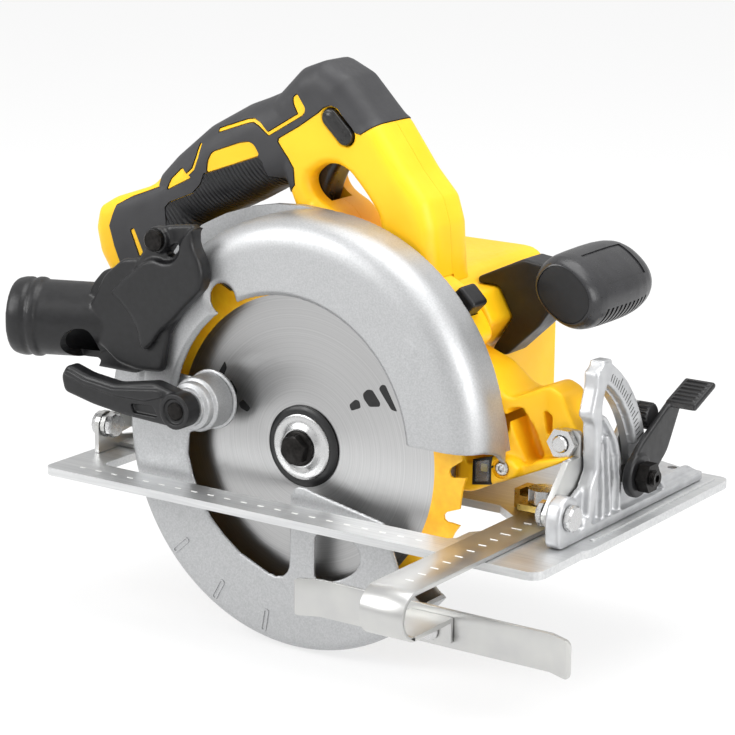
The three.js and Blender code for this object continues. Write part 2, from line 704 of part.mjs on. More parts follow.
function gearCase() {
  const block = prism('y', GEAR_OUTLINE, 16.3, 36);
  const [pivotX, pivotZ] = DEPTH_AXIS;
  const armOutline = [
    [60, -10], [81, -13], [98, -6], [120, 4], ...arc(pivotX, pivotZ, 7, -70, 30, 5), [131, 27],
    [125, 39], [118, 42], [102, 35], [88, 46], [60, 56],
  ];
  const slope = prism('z', [[96, 10], [96, 18], [116, 28.4], [145, 28.4], [145, 10]], -30, 60);
  const arm = cut(softPrism('y', armOutline, 18, 50, 2, 1), slope);
  const nose = softPrism('y', rounded([[76.5, -13], [113, -13], [113, 8], [76.5, 8]], 4, 2), 12.3, 21, 2, 1);
  const pocketOutline = rounded([
    [84, 0], [96, 12], [112, 18], [118, 26], [104, 26], [90, 30], [80, 20],
  ], 4, 2);
  const ribs = [94, 106].map((x) => box(x, x + 2.5, 16, 27, -5, 40));
  const pockets = cut(prism('y', pocketOutline, 17, 26), ...ribs);
  const lensSeat = box(88.2, 97, 12, 15.3, -6.3, 7.3);
  const gearPocket = rod('y', [0, 0], 24, 19.5, 37, 32);
  const pinionPocket = rod('y', MOTOR_AXIS, 7, 18.5, 37);
  const spindleBore = rod('y', [0, 0], 8.3, 16, 20);
  const pivotBore = rod('y', DEPTH_AXIS, 4 + GAP, 17, 51, 16);
  const lobe = prism('y', LOBE_OUTLINE, 16.3, 36);
  const motorSpace = prism('y', grown(MOTOR_OUTLINE, GAP), 36, 51);
  const blockSpace = prism('y', grown(BLOCK_OUTLINE, GAP), 36, 51);
  const shape = join(block, arm, nose, lobe);
  return cut(
    shape, motorSpace, blockSpace, pockets, lensSeat, gearPocket, pinionPocket, spindleBore, pivotBore,
    lockSeat(),
  );
}

function lightLens() {
  return box(88.5, 96.7, 12.6, 15, -6, 7);
}

function motorHousing() {
  const shell = softPrism('y', MOTOR_OUTLINE, 36.3, 118, 2, 1);
  const block = prism('y', BLOCK_OUTLINE, 36.3, 74);
  const bearingSeat = rod('y', [0, 0], 12.4, 36, 46, 24);
  const shaftHole = rod('y', MOTOR_AXIS, 7, 36, 50);
  const inside = prism('y', grown(MOTOR_OUTLINE, -3), 49, 119);
  const barrel = ring('y', MOTOR_AXIS, 30, 32.5, 46, 112, 28);
  return join(cut(join(shell, block), bearingSeat, shaftHole, inside), cut(barrel, shaftHole));
}

function motorEndCap() {
  const cap = softPrism('y', grown(MOTOR_OUTLINE, -3), 118.3, 128, 3, 1);
  const [x, z] = MOTOR_AXIS;
  const vents = [-20, -10, 0, 10, 20].map((at) => box(x - 18, x + 18, 118, 129, z + at - 2, z + at + 2));
  return cut(cap, ...vents);
}

function stator() {
  return ring('y', MOTOR_AXIS, 19.2, 29.5, 53, 98, 32);
}

function bearing(inner, outer, from, to) {
  return ring('y', [0, 0], inner, outer, from, to, 20);
}

// ---------------------------------------------------------------- handle

const HANDLE_OUTLINE = [
  [-135, 62], [-143, 74], [-146, 87], [-143.5, 98], [-134, 103.5], [-114, 110.5], [-96.5, 128],
  [-76, 144.5], [-53, 157], [-42.5, 161], [-31, 166], [-19, 178], [-7, 182.5], [7, 176.3], [27, 156],
  [43.5, 134], [54.5, 122.5], [58.5, 110], [60.5, 81], [-10, 62], [-40, 47], [-74, 48], [-82, 62],
];
const GRIP_OPENING = rounded([
  [-88, 95], [-77, 97], [-51.5, 109.5], [-36, 118], [-27.5, 121], [-23.5, 117], [-18.7, 107], [-14, 97],
  [-17, 91], [-50, 86], [-84, 85],
], 3, 1);
const FINGER_OPENING = rounded([
  [-13, 127], [-9, 132], [-3, 135.5], [5, 136.5], [12, 134], [21, 125], [30, 114], [31.5, 105], [30, 92],
  [14, 91], [8, 106], [2, 112], [-6, 115.5], [-11, 120],
], 2, 1);
const HEAD_MASK = [
  [-26, 190], [-26, 168], [-19, 163.5], [-15, 157.5], [-5, 159.5], [-2, 162], [2.7, 163.3], [6.7, 162.3],
  [13.6, 152.5], [19.4, 151.2], [27, 156.5], [60, 178], [60, 190],
];
const GRIP_MASK = [
  [-26.6, 190], [-26.6, 168], [-19.6, 163], [-15.6, 157], [-6, 158.6], [-16.5, 151.2], [-28.5, 143.5],
  [-20, 131], [-24, 118], [-34, 108], [-84, 84], [-88, 62], [-125, 62], [-131, 79], [-134, 90],
  [-129, 101], [-106, 112], [-110, 125], [-110, 190],
];

function handleBody(inset, soft, steps) {
  const near = HANDLE_MIDDLE - HANDLE_HALF_WIDTH + inset;
  const far = HANDLE_MIDDLE + HANDLE_HALF_WIDTH - inset;
  return softPrism('y', grown(HANDLE_OUTLINE, -inset), near, far, soft, steps);
}

function throughHandle(outline, by = 0) {
  return prism('y', by ? grown(outline, by) : outline, 0, 70);
}

const TRIGGER_PIVOT = [-1, 141];
const BUTTON_ENDS = [[2.5, 157.5], [11, 149.5]];

// A pill-shaped outline round two end centres.
function pill([a0, b0], [a1, b1], radius) {
  const way = THREE.MathUtils.radToDeg(Math.atan2(b1 - b0, a1 - a0));
  return [...arc(a1, b1, radius, way - 90, way + 90, 6), ...arc(a0, b0, radius, way + 90, way + 270, 6)];
}

const TRIGGER_SLOT = [
  [-24.3, 128], [-24.3, 136], [-14, 148.5], [7, 148.5], [7.5, 134], [-9, 106], [-14, 106], [-20.6, 115],
];

// Both halves together: yellow at the surface, set back under the two soft covers.
function handleCore() {
  const skin = handleBody(0, 6, 1);
  const core = handleBody(1.8, 5, 1);
  const visible = cut(skin, throughHandle(grown(HEAD_MASK, GAP)), throughHandle(grown(GRIP_MASK, GAP)));
  const cavity = cut(
    prism('y', grown(HANDLE_OUTLINE, -4.5), 20.8, 49.2),
    throughHandle(GRIP_OPENING, 3),
    throughHandle(FINGER_OPENING, 3),
    throughHandle(MOTOR_OUTLINE, 3),
    throughHandle(pill(...BUTTON_ENDS, 8)),
    prism('y', rounded(circle(...TRIGGER_PIVOT, 6, 8), 1, 1), 0, 70),
    box(-76, -25, 10, 25, 30, 100),
  );
  const triggerSlot = prism('y', TRIGGER_SLOT, 26.3, 43.7);
  return cut(
    join(visible, core),
    cavity,
    throughHandle(GRIP_OPENING),
    throughHandle(FINGER_OPENING),
    throughHandle(grown(MOTOR_OUTLINE, GAP)),
    prism('y', grown(GEAR_OUTLINE, GAP), 10, 36 + GAP),
    prism('y', grown(LOBE_OUTLINE, GAP), 10, 36 + GAP),
    prism('y', grown(BLOCK_OUTLINE, GAP), 36, 75),
    throughHandle(pill(...BUTTON_ENDS, 4.9)),
    triggerSlot,
    rod('y', TRIGGER_PIVOT, 2.3, 21, 49, 12),
    box(-76, -25, 10, 21.8, 30, 98),
  );
}

const HANDLE = handleCore();

function handleShellNear() {
  return HANDLE.intersect(box(-170, 90, 0, HANDLE_MIDDLE - GAP / 2, 30, 200));
}

function handleShellFar() {
  return HANDLE.intersect(box(-170, 90, HANDLE_MIDDLE + GAP / 2, 70, 30, 200));
}

function softCover(mask) {
  const layer = cut(handleBody(0, 6, 1), handleBody(1.5, 5, 1));
  return cut(
    layer.intersect(throughHandle(mask)),
    throughHandle(GRIP_OPENING, 0.1),
    throughHandle(FINGER_OPENING, 0.1),
    throughHandle(pill(...BUTTON_ENDS, 5)),
    box(-76, -25, 10, 22, 30, 98),
  );
}

function trigger() {
  const outline = rounded([
    [-18, 124], [-18.5, 133], [-12, 143], [1, 145], [3.5, 137], [-2.5, 130], [-6.8, 121], [-8.5, 114],
    [-11.5, 110.8], [-15, 112.5],
  ], 3, 3);
  return cut(softPrism('y', outline, 27, 43, 2, 1), rod('y', TRIGGER_PIVOT, 2.3, 26, 44, 12));
}

function triggerPin() {
  return rod('y', TRIGGER_PIVOT, 2, 22, 48, 12);
}

function lockOffButton() {
  return softPrism('y', pill(...BUTTON_ENDS, 4.6), 14, 56, 1.2, 1);
}

function batteryFoot() {
  const rail = [[26, 61.6], [26, 53], [31, 53], [31, 56], [39, 56], [39, 53], [44, 53], [44, 61.6]];
  return prism('x', rail, -131, -84);
}

function terminalBlock() {
  return box(-116, -88, 32, 38, 50.5, 55.7);
}

function switchBody() {
  return box(-20, -6, 25, 45, 150, 166);
}

// ---------------------------------------------------------------- front handle

const AUX_CENTRE = [117.5, 83];

function auxOutline(extra) {
  const points = [];
  for (let i = 0; i < 24; i += 1) {
    const angle = (2 * Math.PI * i) / 24;
    const a = (19.8 + extra) * Math.cos(angle);
    const b = (15.6 + extra) * Math.sin(angle);
    const lean = rad(-38);
    points.push([
      AUX_CENTRE[0] + a * Math.cos(lean) - b * Math.sin(lean),
      AUX_CENTRE[1] + a * Math.sin(lean) + b * Math.cos(lean),
    ]);
  }
  return points;
}

function auxGrip() {
  return softPrism('y', auxOutline(0), 40, 104.5, 8, 2);
}

// A forked bracket that clasps the block on the front of the motor housing.
function auxBracket() {
  const fork = [
    [63, 79.3], [63, 82.5], [88, 94], [104, 92], [104, 72], [97, 62], [80, 46], [74, 46], [72, 48.5],
    [82.6, 64.8], [74.6, 79.3],
  ];
  return cut(prism('y', fork, 53, 71), prism('y', auxOutline(GAP), 39, 106));
}

// ---------------------------------------------------------------- the saw

const PIECES = [
  ['shoe_plate', shoePlate(), CAST_ALUMINIUM],
  ['bevel_quadrant', bevelQuadrant(), CAST_ALUMINIUM],
  ['detent_knob', detentKnob(), BLACK],
  ['rear_bevel_bracket', rearBevelBracket(), SHEET_STEEL],
  ['rear_bracket_screw', footScrew(-119, 24), BRIGHT_STEEL],
  ['front_bevel_pin', bevelPin(130.9, 149.6, 3.2), BRIGHT_STEEL],
  ['rear_bevel_pin', bevelPin(-131, -118.5, 3), BRIGHT_STEEL],
  ['fence_guide_block', fenceGuideBlock(), BRASSY_STEEL],
  ['fence_screw', fenceScrew(), BRIGHT_STEEL],
  ['rip_fence_bar', ripFenceBar(), SHEET_STEEL],
  ['rip_fence_plate', ripFencePlate(), SHEET_STEEL],
  ['rip_fence_rivet', ripFenceRivet(), BRIGHT_STEEL],
  ['bevel_bracket', bevelBracket(), SHEET_STEEL],
  ['depth_bracket', depthBracket(), SHEET_STEEL],
  ['bevel_clamp_bolt', bevelClampBolt(), DARK_STEEL],
  ['bevel_clamp_nut', hexNut('x', BEVEL_CLAMP, 13, 4, 152.7, 158.5), DARK_STEEL],
  ['bevel_lever', bevelLever(), BLACK],
  ['depth_pivot_bolt', depthPivotBolt(), BRIGHT_STEEL],
  ['depth_pivot_nut', hexNut('y', DEPTH_AXIS, 13, 4.3, 21.7, 25.2), BRIGHT_STEEL],
  ['depth_clamp_bolt', depthClampBolt(), BRIGHT_STEEL],
  ['depth_lever', depthLever(), BLACK],
  ['blade', blade(), BLADE_STEEL],
  ['blade_flange_inner', ring('y', [0, 0], 8, 17, 1.2, 5), BRIGHT_STEEL],
  ['blade_flange_outer', ring('y', [0, 0], 8, 20, -5, -1.2), BRIGHT_STEEL],
  ['blade_bolt', bladeBolt(), DARK_STEEL],
  ['spindle', spindle(), BRIGHT_STEEL],
  ['spindle_gear', spindleGear(), DARK_STEEL],
  ['spindle_bearing_front', bearing(8, 19.6, 6.8, 15.7), BRIGHT_STEEL],
  ['spindle_bearing_rear', bearing(8, 12, 37, 45), BRIGHT_STEEL],
  ['rotor', rotor(), DARK_STEEL],
  ['pinion', pinion(), BRIGHT_STEEL],
  ['cooling_fan', coolingFan(), BLACK],
  ['stator', stator(), DARK_STEEL],
  ['lower_guard', lowerGuard(), CAST_ALUMINIUM],
  ['guard_boss', guardBoss(), CAST_ALUMINIUM],
  ['guard_lever', guardLever(), BLACK],
  ['guard_lever_screw', guardLeverScrew(), DARK_STEEL],
  ['guard_spring', guardSpring(), DARK_STEEL],
  ['upper_guard', upperGuard(), CAST_ALUMINIUM],
  ['upper_guard_back', upperGuardBack(), CAST_ALUMINIUM],
  ['dust_chute', dustChute(), BLACK],
  ['chute_screw', chuteScrew(), DARK_STEEL],
  ['gear_case', gearCase(), YELLOW],
  ['light_lens', lightLens(), CLEAR],
  ['motor_housing', motorHousing(), YELLOW],
  ['motor_end_cap', motorEndCap(), BLACK],
  ['spindle_lock', spindleLock(), BLACK],
  ['handle_shell_near', handleShellNear(), YELLOW],
  ['handle_shell_far', handleShellFar(), YELLOW],
  ['head_cover', softCover(HEAD_MASK), RUBBER],
  ['grip_cover', softCover(GRIP_MASK), RUBBER],
  ['trigger', trigger(), BLACK],
  ['trigger_pin', triggerPin(), BRIGHT_STEEL],
  ['lock_off_button', lockOffButton(), BLACK],
  ['switch_body', switchBody(), BLACK],
  ['battery_foot', batteryFoot(), BLACK],
  ['terminal_block', terminalBlock(), BLACK],
  ['aux_grip', auxGrip(), RUBBER],
  ['aux_bracket', auxBracket(), BLACK],
];

const saw = new THREE.Group();
saw.position.set(...BLADE_ORIGIN);
PIECES.forEach(([name, part, material]) => saw.add(meshOf(name, part, material)));

const group = new THREE.Group();
group.add(saw);

export default group;
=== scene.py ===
# %% [markdown]
# # A cordless circular saw
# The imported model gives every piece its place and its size. This notebook gives the saw its surfaces:
# the cast guards, the ground blade, the yellow mouldings, the soft grip and the plated steel parts.
# It starts by loading that frame. All the meshes are built in metres, in the frame's own axes.

# %% Load the frame
import math

import bmesh
import bpy
import numpy as np
from mathutils import Matrix, Vector


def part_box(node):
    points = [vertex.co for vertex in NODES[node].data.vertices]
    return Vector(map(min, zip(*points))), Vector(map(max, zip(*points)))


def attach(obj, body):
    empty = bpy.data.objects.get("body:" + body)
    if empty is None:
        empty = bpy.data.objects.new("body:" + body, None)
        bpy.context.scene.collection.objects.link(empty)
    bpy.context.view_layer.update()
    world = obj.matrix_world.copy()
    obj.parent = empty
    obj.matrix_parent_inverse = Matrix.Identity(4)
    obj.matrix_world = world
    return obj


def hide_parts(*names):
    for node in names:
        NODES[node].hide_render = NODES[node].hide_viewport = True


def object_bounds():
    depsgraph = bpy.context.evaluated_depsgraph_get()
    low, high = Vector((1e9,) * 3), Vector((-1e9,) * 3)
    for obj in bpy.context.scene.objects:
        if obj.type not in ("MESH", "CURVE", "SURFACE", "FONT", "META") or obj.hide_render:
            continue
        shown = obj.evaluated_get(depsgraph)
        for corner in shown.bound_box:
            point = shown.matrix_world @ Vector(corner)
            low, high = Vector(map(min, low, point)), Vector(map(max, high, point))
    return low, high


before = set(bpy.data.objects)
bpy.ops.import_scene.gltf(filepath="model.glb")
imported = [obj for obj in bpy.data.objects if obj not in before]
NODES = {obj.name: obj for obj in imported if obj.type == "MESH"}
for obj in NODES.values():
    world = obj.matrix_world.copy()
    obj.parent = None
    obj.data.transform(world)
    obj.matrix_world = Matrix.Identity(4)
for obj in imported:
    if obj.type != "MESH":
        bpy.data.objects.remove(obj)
CAD_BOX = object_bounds()

# %% [markdown]
# Nearly every shape on a circular saw is placed from the spindle, so the drawings below use millimetres
# from the middle of the blade: x runs forwards, y from the blade towards the motor, and z up.
# One function turns such a point into the frame's metres.

# %% The drawing's origin
MM = 0.001
blade_low, blade_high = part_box("blade")
HUB = (blade_low + blade_high) / 2
SPINDLE = (0, 0)


def at(x, y, z):
    """A point of the drawing, in millimetres from the blade's centre, as a place in the frame."""
    return HUB + Vector((x, y, z)) * MM


def drawn_box(node):
    """The box of a node in the drawing's millimetres."""
    low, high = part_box(node)
    return (low - HUB) / MM, (high - HUB) / MM


print("hub at", [round(v, 4) for v in HUB])

# %% [markdown]
# ## Camera and studio
# A long lens flattens the saw as product shots do. The camera stands to the right of the blade and a
# little above it. The floor and the air are plain and pale, and the lamps are large and soft, so that
# metal shows smooth gradients and plastic shows no hard glints.

# %% Camera
VIEW_TURN = math.radians(34.11)
VIEW_RISE = math.radians(14.26)
VIEW_ROLL = math.radians(0.55)
VIEW_DISTANCE = 1.25341
VIEW_TARGET = at(35.92, 0, 44.28)
LENS_MM, SENSOR_MM, VIEW_LIMIT = 130.5, 36, 20


def link(thing):
    """Puts an object into the scene and returns it."""
    bpy.context.scene.collection.objects.link(thing)
    return thing


def make_camera():
    """A long-lens camera that looks at the target from the chosen turn and rise."""
    back = Vector((
        math.sin(VIEW_TURN) * math.cos(VIEW_RISE),
        -math.cos(VIEW_TURN) * math.cos(VIEW_RISE),
        math.sin(VIEW_RISE),
    ))
    level = Vector((math.cos(VIEW_TURN), math.sin(VIEW_TURN), 0))
    upright = back.cross(level)
    right = level * math.cos(VIEW_ROLL) + upright * math.sin(VIEW_ROLL)
    up = upright * math.cos(VIEW_ROLL) - level * math.sin(VIEW_ROLL)
    data = bpy.data.cameras.new("camera")
    data.lens, data.sensor_width, data.clip_end = LENS_MM, SENSOR_MM, VIEW_LIMIT
    camera = bpy.data.objects.new("camera", data)
    camera.matrix_world = Matrix((
        (right.x, up.x, back.x, 0), (right.y, up.y, back.y, 0), (right.z, up.z, back.z, 0), (0, 0, 0, 1),
    ))
    camera.location = VIEW_TARGET + back * VIEW_DISTANCE
    bpy.context.scene.camera = link(camera)
    return camera


camera = make_camera()
print("camera at", [round(v, 3) for v in camera.location])

# %% [markdown]
# Colours are written as sRGB hex values, as a paint chart gives them, and shaders need them linear, so
# one function converts them. Another adds a node with its settings and links in one call.

# %% Colours and nodes


def colour(code):
    """An sRGB hex value as the linear colour that a shader uses."""
    values = [int(code[i:i + 2], 16) / 255 for i in (1, 3, 5)]
    return (*[v / 12.92 if v <= 0.04045 else ((v + 0.055) / 1.055) ** 2.4 for v in values], 1.0)


def add(tree, kind, inputs=None, **settings):
    """Adds a node with its settings, and fills or links its sockets."""
    node = tree.nodes.new("ShaderNode" + kind)
    for key, value in settings.items():
        setattr(node, key, value)
    for key, value in (inputs or {}).items():
        if isinstance(value, bpy.types.NodeSocket):
            tree.links.new(value, node.inputs[key])
        else:
            node.inputs[key].default_value = value
    return node


# %% [markdown]
# The floor is a sheet of white paper a hair below the lowest point. To the camera it glows for the
# most part, so it comes out white and still keeps a soft shadow. The air is white to the camera, but to
# the metal it is a sky that darkens downwards, because a bright edge needs something darker beside it.

# %% Floor, air and lamps
FLOOR_DROP, FLOOR_HALF, FLOOR_GLOW = 0.0015, 6, 0.72
SKY_FROM, SKY_TO, SKY_DIM, SKY_BRIGHT = -0.4, 0.9, 0.42, 0.9
WHITE = (1, 1, 1, 1)
LAMPS_FACE = at(20, 20, 60)


def make_floor():
    """A wide pale floor, seen lighter than it is lit, that keeps a soft shadow."""
    mesh = bpy.data.meshes.new("floor")
    z, h = CAD_BOX[0].z - FLOOR_DROP, FLOOR_HALF
    mesh.from_pydata([(-h, -h, z), (h, -h, z), (h, h, z), (-h, h, z)], [], [(0, 1, 2, 3)])
    floor = link(bpy.data.objects.new("floor", mesh))
    material = bpy.data.materials.new("white paper floor")
    material.use_nodes = True
    tree = material.node_tree
    tree.nodes.clear()
    paper = add(tree, "BsdfDiffuse", {"Color": colour("#f4f4f4")})
    glow = add(tree, "Emission", {"Color": WHITE, "Strength": 1.0})
    rays = add(tree, "LightPath")
    seen = add(tree, "Math", {0: rays.outputs["Is Camera Ray"], 1: rays.outputs["Is Glossy Ray"]},
               operation="MAXIMUM")
    share = add(tree, "Math", {0: seen.outputs[0], 1: FLOOR_GLOW}, operation="MULTIPLY")
    mixed = add(tree, "MixShader", {0: share.outputs[0], 1: paper.outputs[0], 2: glow.outputs[0]})
    add(tree, "OutputMaterial", {"Surface": mixed.outputs[0]})
    mesh.materials.append(material)


def make_air():
    """White air for the camera, and a grey-to-white sky for light and reflections."""
    world = bpy.data.worlds.new("studio air")
    bpy.context.scene.world = world
    world.use_nodes = True
    tree = world.node_tree
    tree.nodes.clear()
    place = add(tree, "TexCoord")
    height = add(tree, "SeparateXYZ", {0: place.outputs["Generated"]})
    levels = {1: SKY_FROM, 2: SKY_TO, 3: SKY_DIM, 4: SKY_BRIGHT}
    lift = add(tree, "MapRange", {0: height.outputs["Z"], **levels})
    sky = add(tree, "Background", {"Color": WHITE, "Strength": lift.outputs[0]})
    white = add(tree, "Background", {"Color": WHITE, "Strength": 1.0})
    rays = add(tree, "LightPath")
    clear = add(tree, "Math", {0: rays.outputs["Is Camera Ray"], 1: rays.outputs["Is Transmission Ray"]},
                operation="MAXIMUM")
    mixed = add(tree, "MixShader", {0: clear.outputs[0], 1: sky.outputs[0], 2: white.outputs[0]})
    add(tree, "OutputWorld", {"Surface": mixed.outputs[0]})


def soft_lamp(name, place, size, power):
    """A square lamp that faces the saw."""
    data = bpy.data.lights.new(name, "AREA")
    data.shape = "SQUARE"
    data.size = size
    data.energy = power
    lamp = link(bpy.data.objects.new(name, data))
    lamp.location = at(*place)
    lamp.rotation_euler = (LAMPS_FACE - lamp.location).to_track_quat("-Z", "Y").to_euler()


make_floor()
make_air()
soft_lamp("left softbox", (-900, -1100, 900), 0.9, 16)
soft_lamp("top softbox", (250, 200, 1500), 1.2, 15)
soft_lamp("right softbox", (1300, -150, 500), 0.8, 9)
bpy.context.scene.view_settings.view_transform = "Standard"
print("studio ready")

# %% [markdown]
# ## Finishes
# Every material starts from what the real one is and how its surface was made. Patterns are sized in
# millimetres. Grain finer than about a millimetre would vanish at this distance, so it is drawn a
# little coarser than it is, and where that is done the comment says so.

# %% Material parts
NOISE_LOW, NOISE_HIGH = 0.3, 0.7  # a noise pattern rarely leaves this range
WAVES_PER_SCALE = 20 / math.tau  # how often a wave pattern of scale 1 repeats in a metre


class Finish:
    """A material with its shader, ready for patterns in real millimetres."""

    def __init__(self, name, base, roughness, metallic=0.0, **sockets):
        self.material = bpy.data.materials.new(name)
        self.material.use_nodes = True
        self.tree = self.material.node_tree
        self.shader = self.tree.nodes["Principled BSDF"]
        sockets |= {"Base_Color": colour(base), "Roughness": roughness, "Metallic": metallic}
        for key, value in sockets.items():
            self.shader.inputs[key.replace("_", " ")].default_value = value
        self.place = add(self.tree, "TexCoord").outputs["Object"]
        self.bumps = None

    def stretched(self, sx, sy, sz):
        """The place, stretched: a pattern grows long along an axis with a small factor."""
        factors = {0: self.place, 1: (sx, sy, sz)}
        return add(self.tree, "VectorMath", factors, operation="MULTIPLY").outputs[0]

    def grain(self, size_mm, detail=2.0, place=None):
        """Noise with features of this size."""
        return add(self.tree, "TexNoise", {"Vector": place or self.place, "Scale": 1 / (size_mm * MM),
                                           "Detail": detail}).outputs["Fac"]

    def tint(self, pattern, *codes):
        """Base colour that goes from the first hex colour to the second as the pattern rises."""
        ramp = add(self.tree, "ValToRGB", {0: pattern})
        for stop, code, position in zip(ramp.color_ramp.elements, codes, (NOISE_LOW, NOISE_HIGH)):
            stop.color, stop.position = colour(code), position
        self.tree.links.new(ramp.outputs[0], self.shader.inputs["Base Color"])
        return self

    def rough(self, pattern, low, high):
        """Roughness that wanders with a pattern."""
        spread = add(self.tree, "MapRange", {0: pattern, 1: NOISE_LOW, 2: NOISE_HIGH, 3: low, 4: high})
        self.tree.links.new(spread.outputs[0], self.shader.inputs["Roughness"])
        return self

    def relief(self, pattern, depth_mm, strength=1.0):
        """Adds a bump of this depth on top of the bumps there are."""
        inputs = {"Height": pattern, "Distance": depth_mm * MM, "Strength": strength}
        if self.bumps:
            inputs["Normal"] = self.bumps
        self.bumps = add(self.tree, "Bump", inputs).outputs[0]
        self.tree.links.new(self.bumps, self.shader.inputs["Normal"])
        return self


# %% [markdown]
# The two guards and the shoe's quadrant are die-cast aluminium, blasted so that they scatter light.
# Blasting leaves a fine bright speckle. The grit is about 0.3 mm; the speckle here is 0.8 mm, because
# finer grain would not show. Metallic stays high, and the roughness gives the broad satin highlights.

# %% Blasted and machined aluminium


def blasted_aluminium():
    """Fine bright speckle under a broad satin highlight."""
    skin = Finish("blasted die-cast aluminium", "#b7b8b9", 0.46, metallic=0.8)
    grit = skin.grain(0.8, 2)
    skin.tint(grit, "#afb0b1", "#bfc0c1")
    skin.rough(skin.grain(9, 3), 0.42, 0.52)
    return skin.relief(grit, 0.025, 0.5).material


def die_cast_aluminium():
    """Tumbled bright, with the soft flow marks and small pits that casting leaves."""
    skin = Finish("tumbled die-cast aluminium", "#c3c4c5", 0.42, metallic=0.8)
    flow = skin.grain(6, 4)
    skin.tint(flow, "#bbbcbe", "#cbcccd")
    skin.rough(skin.grain(3, 3), 0.38, 0.5)
    return skin.relief(skin.grain(1.5, 3), 0.05, 0.6).material


def rolled_aluminium_plate():
    """Fine lines along the plate, which draw each highlight out across them."""
    skin = Finish("brushed aluminium plate", "#cfd0d0", 0.4, metallic=0.8)
    lines = skin.grain(1.2, 3, skin.stretched(0.03, 1, 1))
    skin.tint(lines, "#c8c9ca", "#d8d9d9")
    skin.rough(skin.grain(14, 3), 0.36, 0.46)
    return skin.relief(lines, 0.025, 0.5).material


BLASTED = blasted_aluminium()
CAST = die_cast_aluminium()
PLATE = rolled_aluminium_plate()
print("aluminium finishes ready")

# %% [markdown]
# Sheet parts are steel with a thin bright zinc coat: it keeps the rolling lines and picks up faint
# cloudy patches. Yellow passivation over zinc gives the guide block its brassy colour. Bolts and
# washers are turned and plated, and the blade's bolt is blackened by hot oxide.

# %% Plated and blackened steel


def zinc_sheet():
    """Bright and a little cloudy, with faint rolling lines."""
    skin = Finish("bright zinc-plated sheet", "#c6c6c4", 0.32, metallic=0.9)
    clouds = skin.grain(16, 2)
    skin.tint(clouds, "#c1c1c0", "#cbcbc8")
    skin.rough(clouds, 0.3, 0.36)
    return skin.relief(skin.grain(1.0, 2, skin.stretched(1, 0.05, 1)), 0.02, 0.5).material


def passivated_zinc():
    """Brassy, with the patchy gold and olive of a passivation bath."""
    skin = Finish("yellow-passivated zinc", "#a98d4a", 0.3, metallic=1.0)
    clouds = skin.grain(5, 3)
    skin.tint(clouds, "#8f7a3f", "#c2a862")
    return skin.rough(clouds, 0.24, 0.42).material


def turned_steel():
    """Crisp and bright: fine turning marks only break up the reflections."""
    skin = Finish("turned and plated steel", "#c9c9c9", 0.28, metallic=1.0)
    skin.rough(skin.grain(2.5, 3), 0.22, 0.34)
    return skin.relief(skin.grain(1.2, 2), 0.004, 0.4).material


def black_oxide():
    """Almost black, with an oily metallic edge."""
    skin = Finish("black oxide steel", "#232221", 0.34, metallic=0.9)
    skin.tint(skin.grain(2, 3), "#1c1b1a", "#2e2c2b")
    return skin.rough(skin.grain(1.5, 3), 0.28, 0.46).material


ZINC = zinc_sheet()
PASSIVATED = passivated_zinc()
TURNED = turned_steel()
OXIDE = black_oxide()

# %% [markdown]
# The blade is steel plate ground in circles about its bore. The rings of scratches stretch each
# highlight into a fan, which an anisotropic shader with a tangent round the blade's axis gives. Real
# scratches are hundredths of a millimetre apart; here the rings are 0.8 mm apart so that they show.

# %% Ground blade steel and its coating


def ground_steel():
    """Rings of scratches that turn every highlight into a fan."""
    skin = Finish("ring-ground blade steel", "#c6c6c6", 0.3, metallic=1.0, Anisotropic=0.75)
    centred = add(skin.tree, "VectorMath", {0: skin.place, 1: tuple(HUB)}, operation="SUBTRACT").outputs[0]
    flat = add(skin.tree, "VectorMath", {0: centred, 1: (1, 0, 1)}, operation="MULTIPLY").outputs[0]
    radius = add(skin.tree, "VectorMath", {0: flat}, operation="LENGTH").outputs["Value"]
    rings = add(skin.tree, "TexNoise", {"W": radius, "Scale": 1 / (0.8 * MM), "Detail": 3.0},
                noise_dimensions="1D").outputs["Fac"]
    skin.tint(rings, "#aeaeae", "#bababa")
    skin.rough(rings, 0.3, 0.36)
    skin.relief(rings, 0.006, 0.3)
    around = add(skin.tree, "Tangent", direction_type="RADIAL", axis="Y").outputs[0]
    skin.tree.links.new(around, skin.shader.inputs["Tangent"])
    return skin.material


def rim_coating():
    """A thick even paint with a slight gloss, softly mottled."""
    skin = Finish("baked yellow rim coating", "#f7b70c", 0.42, Coat_Weight=0.2, Coat_Roughness=0.3)
    skin.tint(skin.grain(5, 3), "#f2ad08", "#fbc31d")
    return skin.relief(skin.grain(1.2, 3), 0.03, 0.5).material


GROUND = ground_steel()
RIM = rim_coating()

# %% [markdown]
# The housing is glass-filled nylon, moulded in a spark-eroded tool: the skin is a deep warm yellow with
# a fine even grain and a wide soft sheen. The black parts are the same nylon. The grip is a soft
# thermoplastic rubber moulded over it, more matt, which looks charcoal because it scatters light.

# %% Mouldings


def yellow_nylon():
    """A deep warm yellow with a fine grain and a wide soft sheen."""
    skin = Finish("yellow glass-filled nylon", "#ffc411", 0.43, IOR=1.5, Specular_IOR_Level=0.42)
    skin.tint(skin.grain(24, 2), "#fdbf0a", "#ffc91d")
    skin.rough(skin.grain(3, 3), 0.38, 0.48)
    return skin.relief(skin.grain(0.9, 3), 0.035, 0.6).material


def black_nylon():
    """Near black, with the same spark-eroded grain and a dull sheen."""
    skin = Finish("black glass-filled nylon", "#141415", 0.4, IOR=1.46)
    skin.tint(skin.grain(3, 4), "#111112", "#18181a")
    skin.rough(skin.grain(5, 3), 0.34, 0.46)
    return skin.relief(skin.grain(0.9, 3), 0.03, 0.6).material


